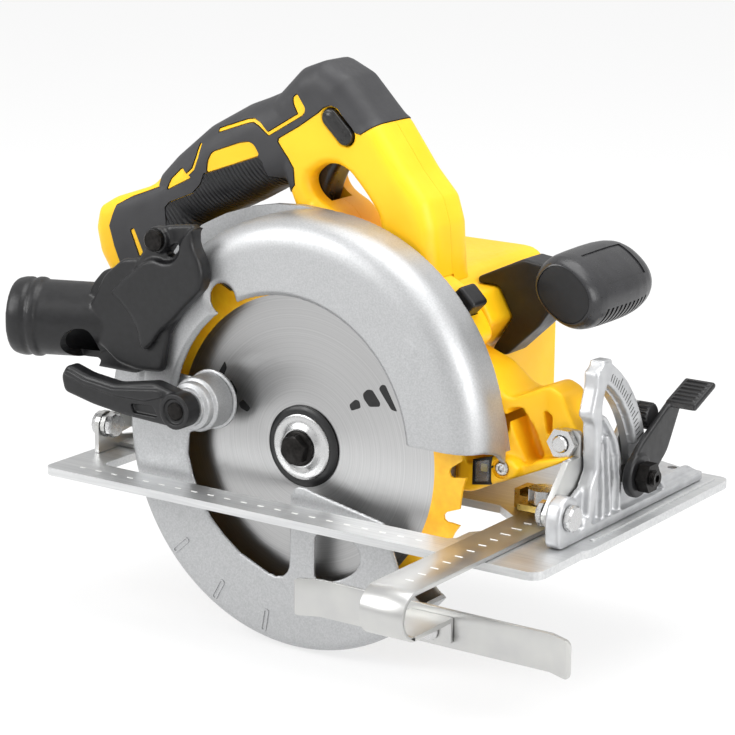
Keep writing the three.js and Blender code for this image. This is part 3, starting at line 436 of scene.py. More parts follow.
def soft_overmould():
    """Charcoal, matt and slightly uneven, as rubber is."""
    skin = Finish("charcoal thermoplastic rubber", "#343436", 0.48, IOR=1.46)
    skin.tint(skin.grain(12, 3), "#303032", "#38383a")
    skin.rough(skin.grain(3, 3), 0.46, 0.58)
    return skin.relief(skin.grain(0.9, 4), 0.05, 0.7).material


def ribbed_rubber():
    """The dark inlay under the fingers, moulded with slanting ribs 2.2 mm apart."""
    skin = Finish("ribbed black rubber", "#1d1d1e", 0.5, IOR=1.48)
    skin.tint(skin.grain(3, 3), "#18181a", "#232325")
    slope = add(skin.tree, "Mapping", {"Vector": skin.place, "Rotation": (0, math.radians(38), 0)})
    scale = 1 / (2.2 * MM * WAVES_PER_SCALE)
    ribs = add(skin.tree, "TexWave", {"Vector": slope.outputs[0], "Scale": scale}, wave_type="BANDS",
               bands_direction="X", wave_profile="SIN").outputs["Fac"]
    return skin.relief(ribs, 0.5, 0.9).material


def polished_black():
    """The same black nylon, worn smooth where fingers rub it."""
    skin = Finish("finger-polished black nylon", "#1b1a1a", 0.3, IOR=1.5)
    return skin.rough(skin.grain(4, 3), 0.24, 0.38).material


def clear_lens():
    """Clear, with a sharp glint."""
    return Finish("clear polycarbonate", "#f3f6f8", 0.06, Transmission_Weight=0.9, IOR=1.58).material


def flat_black():
    """An even dull black that hides the turning marks under it."""
    skin = Finish("black baked lacquer", "#161617", 0.36)
    return skin.rough(skin.grain(3, 3), 0.3, 0.44).material


YELLOW = yellow_nylon()
BLACK = black_nylon()
POLISHED_BLACK = polished_black()
RUBBER_SKIN = soft_overmould()
RIBBED = ribbed_rubber()
LENS = clear_lens()
LACQUER = flat_black()
print("mouldings ready")

# %% [markdown]
# ## Shape tools
# A cast or moulded part can be modelled with subdivision cages, with bevelled plates, or as a solid
# that is cut, joined and then softened. The last is chosen here for most parts: plates and turned
# shapes are joined and cut as closed solids, and a voxel remesh with a few smoothing passes then
# rounds every edge the way a mould radius does. Small plates just get a bevel.

# %% Outlines


def arc(cx, cy, radius, start, end, steps=12):
    """Points on an arc, in degrees."""
    turns = np.radians(np.linspace(start, end, steps + 1))
    return [(cx + radius * math.cos(t), cy + radius * math.sin(t)) for t in turns]


def area_of(outline):
    """Twice the signed area: positive when the outline turns to the left."""
    return sum(a[0] * b[1] - b[0] * a[1] for a, b in zip(outline, outline[1:] + outline[:1]))


def grown(outline, by):
    """Every side moved outwards by the same distance; a negative distance moves it inwards."""
    side = 1 if area_of(outline) > 0 else -1
    moved = []
    for before, here, after in zip(outline[-1:] + outline[:-1], outline, outline[1:] + outline[:1]):
        into = (Vector(here) - Vector(before)).normalized()
        out = (Vector(after) - Vector(here)).normalized()
        lean = (into + out).normalized()
        push = by * side / max(abs(lean.dot(out)), 0.4)
        moved.append((here[0] + lean.y * push, here[1] - lean.x * push))
    return moved


def rounded(outline, radius, steps=4):
    """The outline with its corners turned into small curves."""
    curve = []
    for before, here, after in zip(outline[-1:] + outline[:-1], outline, outline[1:] + outline[:1]):
        a, h, b = Vector(before), Vector(here), Vector(after)
        start = h + (a - h).normalized() * min(radius, (a - h).length / 2)
        end = h + (b - h).normalized() * min(radius, (b - h).length / 2)
        for t in np.linspace(0, 1, steps + 1):
            curve.append(tuple(start * (1 - t) ** 2 + h * 2 * t * (1 - t) + end * t ** 2))
    return curve


def pill(a, b, radius, steps=10):
    """A slot-shaped outline round two centres."""
    way = math.degrees(math.atan2(b[1] - a[1], b[0] - a[0]))
    return arc(*b, radius, way - 90, way + 90, steps) + arc(*a, radius, way + 90, way + 270, steps)


def band(centre, inner, outer, start, end, steps=32):
    """A stretch of a flat ring."""
    return arc(*centre, outer, start, end, steps) + arc(*centre, inner, end, start, steps)


# %% [markdown]
# Two kinds of solid make up the saw: a stack of outlines along an axis, and a profile turned about
# one. Both end in the same step, which closes the skin and makes every face look outwards, because the
# Boolean solver takes only closed solids.

# %% Solids
AXES = {"x": lambda a, b, c: (c, a, b), "y": lambda a, b, c: (a, c, b), "z": lambda a, b, c: (a, b, c)}
SAME_POINT = 1e-7


def closed_skin(name, points, faces):
    """A closed mesh object whose faces all look outwards."""
    mesh = bpy.data.meshes.new(name)
    mesh.from_pydata(points, [], faces)
    shape = bmesh.new()
    shape.from_mesh(mesh)
    bmesh.ops.remove_doubles(shape, verts=shape.verts, dist=SAME_POINT)
    bmesh.ops.recalc_face_normals(shape, faces=shape.faces)
    bmesh.ops.triangulate(shape, faces=[f for f in shape.faces if len(f.verts) > 4])
    if shape.calc_volume(signed=True) < 0:
        bmesh.ops.reverse_faces(shape, faces=shape.faces)
    shape.to_mesh(mesh)
    shape.free()
    return link(bpy.data.objects.new(name, mesh))


def solid(name, rings, axis, closed=False):
    """A closed solid through rings of points (a, b, c), with c along the axis."""
    count = len(rings[0])
    points = [at(*AXES[axis](*p)) for ring in rings for p in ring]
    faces = []
    pairs = list(zip(range(len(rings)), range(1, len(rings)))) + ([(len(rings) - 1, 0)] if closed else [])
    for low, high in pairs:
        for i in range(count):
            j = (i + 1) % count
            faces.append((low * count + i, low * count + j, high * count + j, high * count + i))
    if not closed:
        faces.append(tuple(range(count - 1, -1, -1)))
        faces.append(tuple(range((len(rings) - 1) * count, len(rings) * count)))
    return closed_skin(name, points, faces)


def slab(outline, start, end, axis="y", edge=0.0, steps=3, end_edge=None):
    """A plate with this outline. Its edges are rounded by edge at the start and end_edge at the end."""
    last = edge if end_edge is None else end_edge
    turns = [math.pi / 2 * i / steps for i in range(steps + 1)]
    first = [(start + edge * (1 - math.sin(t)), edge * (1 - math.cos(t))) for t in reversed(turns)]
    final = [(end - last * (1 - math.sin(t)), last * (1 - math.cos(t))) for t in turns]
    rings = (first if edge else [(start, 0)]) + (final if last else [(end, 0)])
    return solid("slab", [[(*p, c) for p in grown(outline, -inset)] for c, inset in rings], axis)


def block(x, y, z, edge=0.0):
    """A box between pairs of limits."""
    outline = [(x[0], z[0]), (x[1], z[0]), (x[1], z[1]), (x[0], z[1])]
    return slab(outline, y[0], y[1], "y", edge)


def turned(profile, centre, axis="y", steps=96):
    """A solid turned about an axis through the centre; the profile is (radius, along), from axis to axis."""
    points = [at(*AXES[axis](centre[0], centre[1], profile[0][1]))]
    middle = profile[1:-1]
    for radius, along in middle:
        points += [at(*AXES[axis](*p, along)) for p in arc(*centre, radius, 0, 360 - 360 / steps, steps - 1)]
    points.append(at(*AXES[axis](centre[0], centre[1], profile[-1][1])))
    last = len(points) - 1
    faces = []
    for i in range(steps):
        j = (i + 1) % steps
        faces.append((0, 1 + j, 1 + i))
        for ring in range(len(middle) - 1):
            a, b = 1 + ring * steps, 1 + (ring + 1) * steps
            faces.append((a + i, a + j, b + j, b + i))
        top = 1 + (len(middle) - 1) * steps
        faces.append((top + i, top + j, last))
    return closed_skin("turned", points, faces)


def rod(centre, radius, start, end, axis="y", steps=64, edge=0.0):
    """A round bar, with eased ends if edge is given."""
    profile = [(0, start), (radius - edge, start), (radius, start + edge), (radius, end - edge),
               (radius - edge, end), (0, end)]
    if not edge:
        profile = [(0, start), (radius, start), (radius, end), (0, end)]
    return turned(profile, centre, axis, steps)


# %% [markdown]
# Solids are joined and cut with the exact Boolean solver. The solids used up on the way are removed, so
# that only the finished pieces are left in the file.

# %% Joining, cutting and softening
EASED_ABOVE = 35  # degrees: a flatter edge than this is left alone


def discard(thing):
    """Removes an object and its mesh."""
    mesh = thing.data
    bpy.data.objects.remove(thing)
    bpy.data.meshes.remove(mesh)


def applied(thing):
    """The object with its modifiers made real."""
    mesh = bpy.data.meshes.new_from_object(thing.evaluated_get(bpy.context.evaluated_depsgraph_get()))
    old = thing.data
    thing.modifiers.clear()
    thing.data = mesh
    bpy.data.meshes.remove(old)
    return thing


def combined(thing, others, operation):
    """One exact solid from the first and the others, which are used up."""
    for other in others:
        step = thing.modifiers.new("step", "BOOLEAN")
        step.operation = operation
        step.solver = "MANIFOLD"
        step.object = other
    applied(thing)
    for other in others:
        discard(other)
    return thing


def join(thing, *others):
    """The solids in one."""
    return combined(thing, others, "UNION")


def cut(thing, *others):
    """The first solid without the others."""
    return combined(thing, others, "DIFFERENCE")


def kept(thing, *others):
    """The part of the solid that lies inside the others."""
    return combined(thing, others, "INTERSECT")


def copy(thing):
    """A second object with its own mesh."""
    return link(bpy.data.objects.new(thing.name, thing.data.copy()))


def softened(thing, voxel_mm, passes):
    """Rebuilds the skin in even cells of this size, and smooths away every hard corner."""
    remesh = thing.modifiers.new("cells", "REMESH")
    remesh.mode = "VOXEL"
    remesh.voxel_size = voxel_mm * MM
    smooth = thing.modifiers.new("soft", "SMOOTH")
    smooth.iterations = passes
    return applied(thing)


def swollen(thing, by_mm):
    """The solid with its skin moved out by this much."""
    push = thing.modifiers.new("push", "DISPLACE")
    push.strength = by_mm * MM
    push.mid_level = 0
    return applied(thing)


def eased(thing, width_mm):
    """Small rounded edges on a hard-edged solid."""
    bevel = thing.modifiers.new("edges", "BEVEL")
    bevel.width = width_mm * MM
    bevel.segments = 2
    bevel.angle_limit = math.radians(EASED_ABOVE)
    return applied(thing)


def piece(thing, name, material, body, replaces=(), smooth_below=40):
    """Names a finished solid, gives it its material, and lets it ride on its body."""
    thing.name = name
    thing.data.name = name
    thing.data.materials.clear()
    thing.data.materials.append(material)
    thing.data.shade_smooth()
    thing.data.set_sharp_from_angle(angle=math.radians(smooth_below))
    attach(thing, body)
    if replaces:
        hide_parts(*replaces)
    print(f"{name}: {len(thing.data.polygons)} faces")
    return thing


# %% [markdown]
# ## The fixed guard
# The real guard is one deep die casting: a flat face that rolls over into the rim, an arched window
# with a chamfered lip, and a front end that stops higher on the face than on the rim. A revolved section
# gives the roll exactly. The window, the chamfer and the slanting end are cut, and then it is softened.

# %% Fixed guard, front casting
guard_low, guard_high = drawn_box("upper_guard")
GUARD_FACE, GUARD_BACK = guard_low.y, guard_high.y
GUARD_R = (guard_high.x - guard_low.x) / 2
GUARD_CENTRE = ((guard_low.x + guard_high.x) / 2, guard_high.z - GUARD_R)
ROLL_WIDTH, ROLL_DEPTH = 17, 16
RIM_WALL, ROLL_WALL, FACE_WALL = 3.4, 2.6, 3
NOTCH = (-38, 70)
FINE = 180  # steps round a large turned part, so that its rim shows no flats
print("fixed guard radius", round(GUARD_R, 1), "mm, face at", round(GUARD_FACE, 1), "mm")

WINDOW = arc(0.2, 8.4, 67.8, 6, 170, 48)
BELOW_GUARD = [(150, 5.4), (67.2, 5.4), (67.2, 15), *WINDOW, (-68, 17), (-89, 17), (-89, 13), (-150, 13),
               (-150, -140), (150, -140)]
ARROW = [(68.4, 65.2), (75.2, 62.4), (73.2, 58), (78.8, 48.6), (77.2, 47.8), (71.4, 57.2), (66.6, 56)]


def guard_cover():
    """The rolled section of the guard, turned about its own centre."""
    face, back, r = GUARD_FACE, GUARD_BACK, GUARD_R
    roll = [(r - ROLL_WIDTH + ROLL_WIDTH * math.sin(t) ** 0.9, face + ROLL_DEPTH * (1 - math.cos(t)) ** 1.1)
            for t in np.linspace(0.05, math.pi / 2, 14)]
    inside = [(radius - RIM_WALL, along + ROLL_WALL) for radius, along in roll]
    outer = turned([(0, face), *roll, (r, back), (0, back)], GUARD_CENTRE, steps=FINE)
    hollow = turned([(0, face + FACE_WALL), (inside[0][0], face + FACE_WALL), *inside[1:],
                     (r - RIM_WALL, back + 1), (0, back + 1)], GUARD_CENTRE, steps=FINE)
    return cut(outer, hollow)


def swing_room():
    """The space that the swinging guard sweeps inside the fixed one, with its running clearance."""
    profile = [(0, -12.6), (98, -12.6), (100.3, -11), (100.8, -9), (100.8, 20), (0, 20)]
    return turned(profile, SPINDLE, steps=FINE)


def guard_casting():
    """The front casting: the rolled cover, cut below its lip, with the window, notch and arrow."""
    lip = solid("lip", [[(*p, GUARD_FACE - 0.4) for p in grown(BELOW_GUARD, 3.0)],
                        [(*p, GUARD_FACE + 2.2) for p in grown(BELOW_GUARD, 0.2)]], "y")
    shell = cut(guard_cover(), slab(BELOW_GUARD, GUARD_FACE - 1, GUARD_BACK + 1), lip)
    notch = rod(NOTCH, 7.6, GUARD_FACE - 1, GUARD_FACE + 4)
    notch_lip = turned([(0, GUARD_FACE - 0.4), (10.4, GUARD_FACE - 0.4), (7.8, GUARD_FACE + 2),
                        (0, GUARD_FACE + 2)], NOTCH, steps=48)
    heel = slab([(-22, 0), (-22, 15.4), (-6, 14.8), (2, 12.8), (6, 11), (9.5, 8.4), (12.5, 5.4), (22, 5.2),
                 (22, 0)], 62, 135, "x")
    shell = cut(shell, notch, notch_lip, heel, block((-150, -86), (-30, 30), (0, 78)))
    arrow = slab(ARROW, GUARD_FACE - 0.35, GUARD_FACE + 1)
    return softened(cut(join(shell, arrow), swing_room()), 0.85, 3)


piece(guard_casting(), "fixed_guard", BLASTED, "saw_body", ["upper_guard"])

# %% [markdown]
# ## The swinging guard
# A thinner casting with spokes and two windows hangs under the blade, with a raised thumb mark cast
# about every twenty degrees. It is revolved and cut like the fixed guard, but its walls are thinner, so
# the cells of the softening step are finer. The marks are joined after it, and stay crisp.

# %% Swinging guard and its lever
swing_low, swing_high = drawn_box("lower_guard")
SWING_R, SWING_FACE, SWING_BACK = 100, swing_low.y, swing_high.y
SWING_RIM_WALL, SWING_FACE_WALL = 2.4, 1.8
PIVOT = (-48, 18)
MARK_TURNS = (-158, -138.3, -119.3, -99.9)
SWING_OUTLINE = [
    (-130, -120), (107, -120), (107, -90), (71, -59), (62.5, -48.4), (57.8, -36), (53.7, -26.4),
    (14, -18.6), (9, -17.3), (5.7, -17), (2.4, -17.8), (-0.5, -22), (-1, -57), (-2, -61), (-5, -64),
    (-9.5, -65), (-14, -64.2), (-31.5, -57), (-41, -50), (-49, -42.5), (-55, -34), (-60, -23),
    (-63, -12), (-62, -1), *arc(*PIVOT, 15, 262, 500, 24), (-116, 31),
]


def spun(outline, degrees):
    """The outline, turned about the spindle."""
    c, s = math.cos(math.radians(degrees)), math.sin(math.radians(degrees))
    return [(a * c - b * s, a * s + b * c) for a, b in outline]


def swinging_cover():
    """A shallow turned dish, open at the back."""
    face, back, r, inside = SWING_FACE, SWING_BACK, SWING_R, SWING_R - SWING_RIM_WALL
    outer = [(0, face), (r - 4.2, face), (r - 2.4, face + 0.5), (r - 0.8, face + 1.8), (r, face + 3.8),
             (r, back), (0, back)]
    hollow = [(0, face + SWING_FACE_WALL), (r - 5, face + SWING_FACE_WALL), (r - 3.4, face + 2.6),
              (inside, face + 4.4), (inside, back + 1), (0, back + 1)]
    return cut(turned(outer, SPINDLE, steps=FINE), turned(hollow, SPINDLE, steps=FINE))


def thumb_mark(turn):
    """A raised hairpin that points to the spindle."""
    ring = spun(rounded([(84, -1.6), (96, -1.6), (96, 1.6), (84, 1.6)], 1.5), turn)
    loop = slab(ring, SWING_FACE - 0.45, SWING_FACE + 1)
    return cut(loop, slab(grown(ring, -0.8), SWING_FACE - 1, SWING_FACE + 2))


def swinging_guard():
    """The dish, cut to its spokes and windows, with a stiffening ring behind and marks in front."""
    front = kept(swinging_cover(), slab(SWING_OUTLINE, SWING_FACE - 1, SWING_BACK + 1))
    window = rounded([(13.5, -38), (35, -38), (40.8, -44), (39, -53), (28, -60), (13.5, -64)], 6, 6)
    front = cut(front, slab(window, SWING_FACE - 1, SWING_FACE + 3))
    back_ring = arc(*SPINDLE, SWING_R - 1, 165, 320, 60) + arc(*SPINDLE, 27, 320, 165, 40)
    ring = slab(back_ring, SWING_BACK - SWING_FACE_WALL, SWING_BACK)
    return join(softened(join(front, ring), 0.75, 2), *[thumb_mark(turn) for turn in MARK_TURNS])


def guard_hub():
    """The stepped boss that the lever sits on."""
    low, high = drawn_box("guard_boss")
    profile = [(0, low.y), (9.4, low.y), (9.5, -29), (11.4, -28.6), (11.8, -28), (11.8, -24.6), (13, -24.1),
               (13.5, -23.4), (13.5, high.y), (0, high.y)]
    return turned(profile, PIVOT, steps=96)


def guard_handle():
    """The short lever: a rounded hub, a tapering arm with a rib along its top, and a thumb end."""
    low, high = drawn_box("guard_lever")
    x, z = PIVOT
    outline = [*arc(x, z, 8.7, -95, 60, 20), (x - 14, 30), (-86, 25.5), (-104, 27.5), (-116, 31),
               (-120, 25), (-118, 17), (-100, 13.1), (-80, 10.7), (-62, 9.9)]
    arm = slab(rounded(outline, 2.5), low.y + 1.4, high.y, edge=2, end_edge=0.6)
    rim = cut(rod(PIVOT, 8.8, low.y, high.y), rod(PIVOT, 6.4, low.y - 1, -38.6))
    rib = slab(rounded([(x - 10, 27.4), (-86, 23.6), (-104, 25.6), (-115, 29), (-117, 26.4), (-104, 22.6),
                        (-84, 20.2), (-66, 20.4), (x - 7, 24)], 1.5), low.y, high.y - 1, edge=0.8)
    pocket = slab(rounded([(-62, 18.5), (-59, 13), (-74, 13), (-76, 17.6)], 1.5), low.y - 1, -37.4)
    lever = cut(join(arm, rim, rib), pocket)
    return softened(lever, 0.45, 3)


piece(swinging_guard(), "swinging_guard", BLASTED, "lower_guard", ["lower_guard"])
piece(eased(guard_hub(), 0.25), "swinging_guard_hub", BLASTED, "lower_guard",
      ["guard_boss"])
piece(guard_handle(), "guard_lever_arm", BLACK, "lower_guard", ["guard_lever"])

# %% [markdown]
# ## The blade
# A framing blade has 24 carbide-tipped teeth. Each stands before a rounded gullet and has a long low
# back. The plate is drawn as rings of points from the bore out to the teeth, so that the coated rim
# can be its own faces, with its own finish, on the same solid.

# %% Blade plate
BLADE_R = (blade_high.x - blade_low.x) / 2 / MM
TEETH, PLATE_HALF, TIP_HALF, RIM_RADIUS, BORE_RADIUS = 24, 0.65, 0.9, 74.6, 8
PITCH = 360 / TEETH
# A tooth as (rise from the tip circle, degrees round). The gullet hooks back under the next tooth, so the
# rings inside it are turned ahead, or their faces would fold over.
TOOTH = [(0, 0), (-1.6, 3.2), (-2, 7), (-1.8, 10), (-5.9, 11.6), (-8.6, 12.8), (-9.4, 14.2), (-8.6, 15.4),
         (-6.9, 15.8), (-4.5, 15.4)]
TURNED_AHEAD = 4.4
TIP = ((0, 0), (4.4, 0.42), (4.2, 1.75), (0.75, 1.5))
print("blade radius", round(BLADE_R, 1), "mm")


def around(radius, degrees, start=0):
    """A point at this radius, clockwise from the front as the saw is seen from its blade side."""
    t = math.radians(-(start + degrees))
    return (radius * math.cos(t), radius * math.sin(t))


def blade_plate():
    """The plate, as rings from the bore to the rim, round the teeth and back on the other face."""
    outline, even = [], []
    for tooth in range(TEETH):
        for i, (rise, turn) in enumerate(TOOTH):
            outline.append(around(BLADE_R + rise, turn, tooth * PITCH))
            even.append(i * PITCH / len(TOOTH) + tooth * PITCH + TURNED_AHEAD)
    near, far = -PLATE_HALF, PLATE_HALF
    rim = [around(RIM_RADIUS, turn) for turn in even]
    bore = [around(BORE_RADIUS, turn) for turn in even]
    rings = [[(*p, y) for p in ring] for ring, y in
             ((bore, near), (rim, near), (outline, near), (outline, far), (rim, far), (bore, far))]
    return solid("blade", rings, "y", closed=True)


def coat_rim(plate, coating):
    """Gives every face outside the rim radius the coating."""
    plate.data.materials.append(coating)
    for face in plate.data.polygons:
        place = (face.center - HUB) / MM
        face.material_index = int(math.hypot(place.x, place.z) > RIM_RADIUS + 0.5)


plate = piece(blade_plate(), "blade_plate", GROUND, "blade_assembly", ["blade"], 25)
coat_rim(plate, RIM)

# %% [markdown]
# The tips are wider than the plate, so that only they touch the timber, and on a new blade the coating
# runs over them. The dark shapes beside the hub are slots through the plate; a flat black fill stands a
# hair above the plate in their place, as painted shade for the dark that shows through them.

# %% Carbide tips and painted slot shade


def slot_shade_black():
    """A dead black fill: painted shade, so that the slots read as dark cuts."""
    skin = Finish("black painted slot shade", "#101011", 0.5)
    return skin.rough(skin.grain(2, 3), 0.44, 0.6).material


def tip(tooth):
    """One tip, brazed to the leading corner of a tooth."""
    return slab([around(BLADE_R - drop, turn, tooth * PITCH) for drop, turn in TIP], -TIP_HALF, TIP_HALF)


def dark_slot_shade():
    """Two fans of three slots, drawn as painted shade: a black fill a hair above the plate."""
    fans = [
        [(26.1, 24.7), (29.6, 27.9), (31.9, 27.5), (32.8, 24.2), (27.3, 21.9)],
        [(33.8, 31.3), (36.4, 33.8), (39.2, 34), (43.8, 28.4), (43.6, 26.5), (37.6, 25.5), (34.4, 28.9)],
        [(42.9, 35.1), (44.3, 37.3), (46.5, 37.6), (53.5, 25.6), (50.1, 26)],
    ]
    half = PLATE_HALF + 0.04
    return join(*[slab(rounded(spun(fan, turn), 1), -half, half) for turn in (0, 118) for fan in fans])


tips = join(*[tip(tooth) for tooth in range(TEETH)])
piece(tips, "blade_tips", RIM, "blade_assembly")
# The slots are a black layer of painted shade, not holes.
piece(dark_slot_shade(), "blade_damping_slots", slot_shade_black(), "blade_assembly")

# %% [markdown]
# The outer washer is turned from bar: a blackened rim against the blade, and a bright dished face that
# steps up to the bolt. The bolt has a round flange under its chamfered hexagon.

# %% Washer and bolt
BOLT_CORNERS, BOLT_TURN, WASHER_BORE = 13 / math.sqrt(3), 18, 4.4


def hexagon(centre, radius, turn=0):
    """A hexagonal outline."""
    return arc(*centre, radius, turn, turn + 300, 5)


def blade_bolt():
    """A hexagonal head with a chamfered crown, on a round flange and a shank."""
    low, high = drawn_box("blade_bolt")
    flange = turned([(0, -7), (8, -7), (8.9, -6.4), (9, -5.4), (0, -5.4)], SPINDLE, steps=72)
    head = slab(hexagon(SPINDLE, BOLT_CORNERS, BOLT_TURN), low.y, -6.2)
    crown = turned([(0, low.y), (6.3, low.y), (7.8, low.y + 0.9), (7.8, -6), (0, -6)], SPINDLE, steps=72)
    shank = rod(SPINDLE, 4, -5.8, high.y)
    return join(kept(head, crown), flange, shank)


def washer(profile):
    """A turned ring that sits on the spindle."""
    return cut(turned(profile, SPINDLE), rod(SPINDLE, WASHER_BORE, -20, 20))


dish = washer([(0, -3), (8.2, -5.2), (9.6, -5.2), (11.4, -3.9), (13.6, -3.5), (15.2, -3.7), (16.2, -3.3),
               (16.4, -2.4), (0, -2.4)])
rim = washer([(0, -2.7), (17.4, -2.7), (19.6, -2.3), (20.2, -1.6), (20.2, -1.0), (0, -1.0)])
piece(eased(dish, 0.15), "washer_face", TURNED, "blade_assembly", ["blade_flange_outer"])
piece(rim, "washer_rim", LACQUER, "blade_assembly")
piece(eased(blade_bolt(), 0.2), "blade_bolt_head", OXIDE, "blade_assembly", ["blade_bolt"])

# %% [markdown]
# ## The handle
# The handle is two moulded shells that meet on its middle plane, with soft rubber moulded over the
# grip and the head. Its members have different sections: the grip is almost oval, the column is a box
# with rounded corners. Each member is a plate with its own edge radius. They are not joined by a
# Boolean but melted together by one voxel remesh, which blends their junctions like a mould does.

# %% Handle core
HANDLE_MIDDLE = 35
HANDLE_NEAR = drawn_box("handle_shell_near")[0].y
HANDLE_FAR = 2 * HANDLE_MIDDLE - HANDLE_NEAR
print("handle from", round(HANDLE_NEAR, 1), "to", round(HANDLE_FAR, 1), "mm")

GRIP = [(-128, 88), (-128, 100), (-114, 110.5), (-96.5, 128), (-76, 144.5), (-53, 157), (-42.5, 161),
        (-31, 166), (-14, 172), (2, 160), (-4, 132), (-27.5, 121), (-36, 118), (-51.5, 109.5), (-77, 97),
        (-92, 90), (-110, 80)]
HEAD = [(-36, 148), (-34, 163), (-31, 166), (-19, 178), (-7, 182.5), (7, 176.3), (27, 156), (38, 141.5),
        (24, 122), (-14, 124)]
COLUMN = [(-28, 130), (-28, 146), (-5, 159), (12, 163), (27, 156), (43.5, 134), (54.5, 122.5), (58.5, 110),
          (60.5, 81), (60.5, 66), (-12, 62), (-17, 91), (-14, 97), (-18.7, 107), (-23.5, 117)]
FOOT = [(-135, 62), (-143, 74), (-146, 87), (-143.5, 98), (-134, 103.5), (-114, 110.5), (-98, 118),
        (-84, 108), (-82, 90), (-82, 62)]
BASE = [(-100, 62), (-100, 88), (-84, 86), (-50, 86), (-17, 92), (0, 96), (22, 92), (60.5, 84), (60.5, 66),
        (-10, 62), (-40, 48), (-74, 48), (-82, 62)]
FINGER_OPENING = [(-13, 127), (-9, 132), (-3, 135.5), (5, 136.5), (12, 134), (21, 125), (30, 114),
                  (31.5, 105), (30, 92), (14, 91), (8, 106), (2, 112), (-6, 115.5), (-11, 120)]
# Each member's outline, the radius of its edges, and the steps round each edge.
MEMBERS = ((GRIP, 15, 8), (HEAD, 11, 6), (COLUMN, 8, 5), (FOOT, 8, 5), (BASE, 5, 3))


def melted(parts, voxel_mm, passes):
    """One soft solid from overlapping ones."""
    whole = bmesh.new()
    for part in parts:
        whole.from_mesh(part.data)
    first = parts[0]
    whole.to_mesh(first.data)
    whole.free()
    for other in parts[1:]:
        discard(other)
    return softened(first, voxel_mm, passes)


def flared(outline, start, end, flare, steps=4):
    """A cutter whose ends widen like a rounded lip."""
    turns = [math.pi / 2 * i / steps for i in range(steps + 1)]
    rings = [(start - 1, flare)]
    rings += [(start + flare * math.sin(t), flare * (1 - math.sin(t)) ** 1.4) for t in turns]
    rings += [(end - flare * math.sin(t), flare * (1 - math.sin(t)) ** 1.4) for t in reversed(turns)]
    rings += [(end + 1, flare)]
    return solid("flared", [[(*p, c) for p in grown(outline, by)] for c, by in rings], "y")


def handle_core():
    """The whole handle as one soft solid, with its finger opening."""
    near, far = HANDLE_NEAR, HANDLE_FAR
    members = [slab(outline, near, far, edge=edge, steps=steps) for outline, edge, steps in MEMBERS]
    opening = flared(rounded(grown(FINGER_OPENING, -1), 4), near, far, 3.2)
    return softened(cut(melted(members, 1.1, 5), opening), 1.0, 2)


core = handle_core()
print("handle core:", len(core.data.polygons), "faces")

# %% [markdown]
# The rubber lies in a shallow step in the shells, with a fine groove round it, and it stands a little
# proud. It is the core's own skin pushed outwards, limited by an outline across the handle. Windows in
# it let the yellow shell show as two pads and a thin line, and a ribbed black inlay lies underneath.

# %% Outlines on the handle
RUBBER = [(60, 190), (60, 178), (27, 156.5), (19.4, 151.2), (13.6, 152.5), (6.7, 162.3), (2.7, 163.3),
          (-1.9, 161.9), (-4.8, 159.3), (-16.4, 151.5), (-28, 144.8), (-28.3, 142.8), (-19.2, 131),
          (-18.6, 123), (-25, 117), (-34, 108), (-80, 86), (-86, 62), (-125, 62), (-124.5, 66.8),
          (-130.2, 79.6), (-133.3, 89.5), (-129.2, 100.3), (-120, 105.5), (-102, 112.5), (-110, 125),
          (-110, 190)]
SEAM_BLOB = [(-17, 166.9), (-12.3, 160.6), (-12.8, 158), (-15.7, 156.6), (-18.7, 161.9), (-19.3, 165.2)]
SEAM_LINE = [(-14, 157.9), (-33.8, 146.2), (-39.2, 150.2), (-43.5, 151.7), (-47.5, 150.9), (-66.5, 144.3)]
FRONT_PAD = [(-71.1, 123.5), (-70.4, 129.5), (-67.9, 133.8), (-51.4, 139.9), (-45.4, 141.2), (-42.4, 139.8),
             (-39.4, 135.2)]
REAR_PAD = [(-96.2, 112.3), (-94.2, 117.5), (-87.2, 123.8), (-84.1, 121), (-81.2, 119.9), (-83.5, 118.7)]
REAR_LINE = [(-84, 120.5), (-79.8, 124.2), (-77.9, 130), (-77, 137)]
INLAY = [(-97.1, 102.9), (-94.5, 105.8), (-80, 111.9), (-75, 117), (-72.8, 122.4), (-40.4, 134.2),
         (-37.8, 131.9), (-36, 124.7), (-25, 123.9), (-30, 112), (-50, 100), (-78, 88), (-96, 90)]
SLIT = [(-119.5, 88.9), (-117.6, 89.9), (-112, 78.5), (-113.9, 76.2)]
ACROSS = (0, 70)


def ribbon(path, width):
    """A thin band of this width along a path."""
    sides = ([], [])
    for i, here in enumerate(path):
        before, after = path[max(i - 1, 0)], path[min(i + 1, len(path) - 1)]
        way = (Vector(after) - Vector(before)).normalized()
        for side, sign in zip(sides, (1, -1)):
            side.append((here[0] - way.y * width / 2 * sign, here[1] + way.x * width / 2 * sign))
    return sides[0] + sides[1][::-1]


def through(outline, by=0.0):
    """The outline as a solid all the way across the handle."""
    return slab(grown(outline, by) if by else outline, *ACROSS)


def windows(by):
    """The places where the yellow shell shows in the rubber."""
    return [
        through(rounded(SEAM_BLOB, 1.2), by), through(ribbon(SEAM_LINE, 1.5 + 2 * by)),
        through(rounded(FRONT_PAD, 1.5), by), through(rounded(REAR_PAD, 1), by),
        through(ribbon(REAR_LINE, 1.2 + 2 * by)), through(rounded(SLIT, 0.8), by),
    ]


# %% [markdown]
# The shells are cut away where other pieces sit: the motor and gear housings, the trigger's slot, the
# lock-off button's bore, the switch, and the depth stop's bracket.

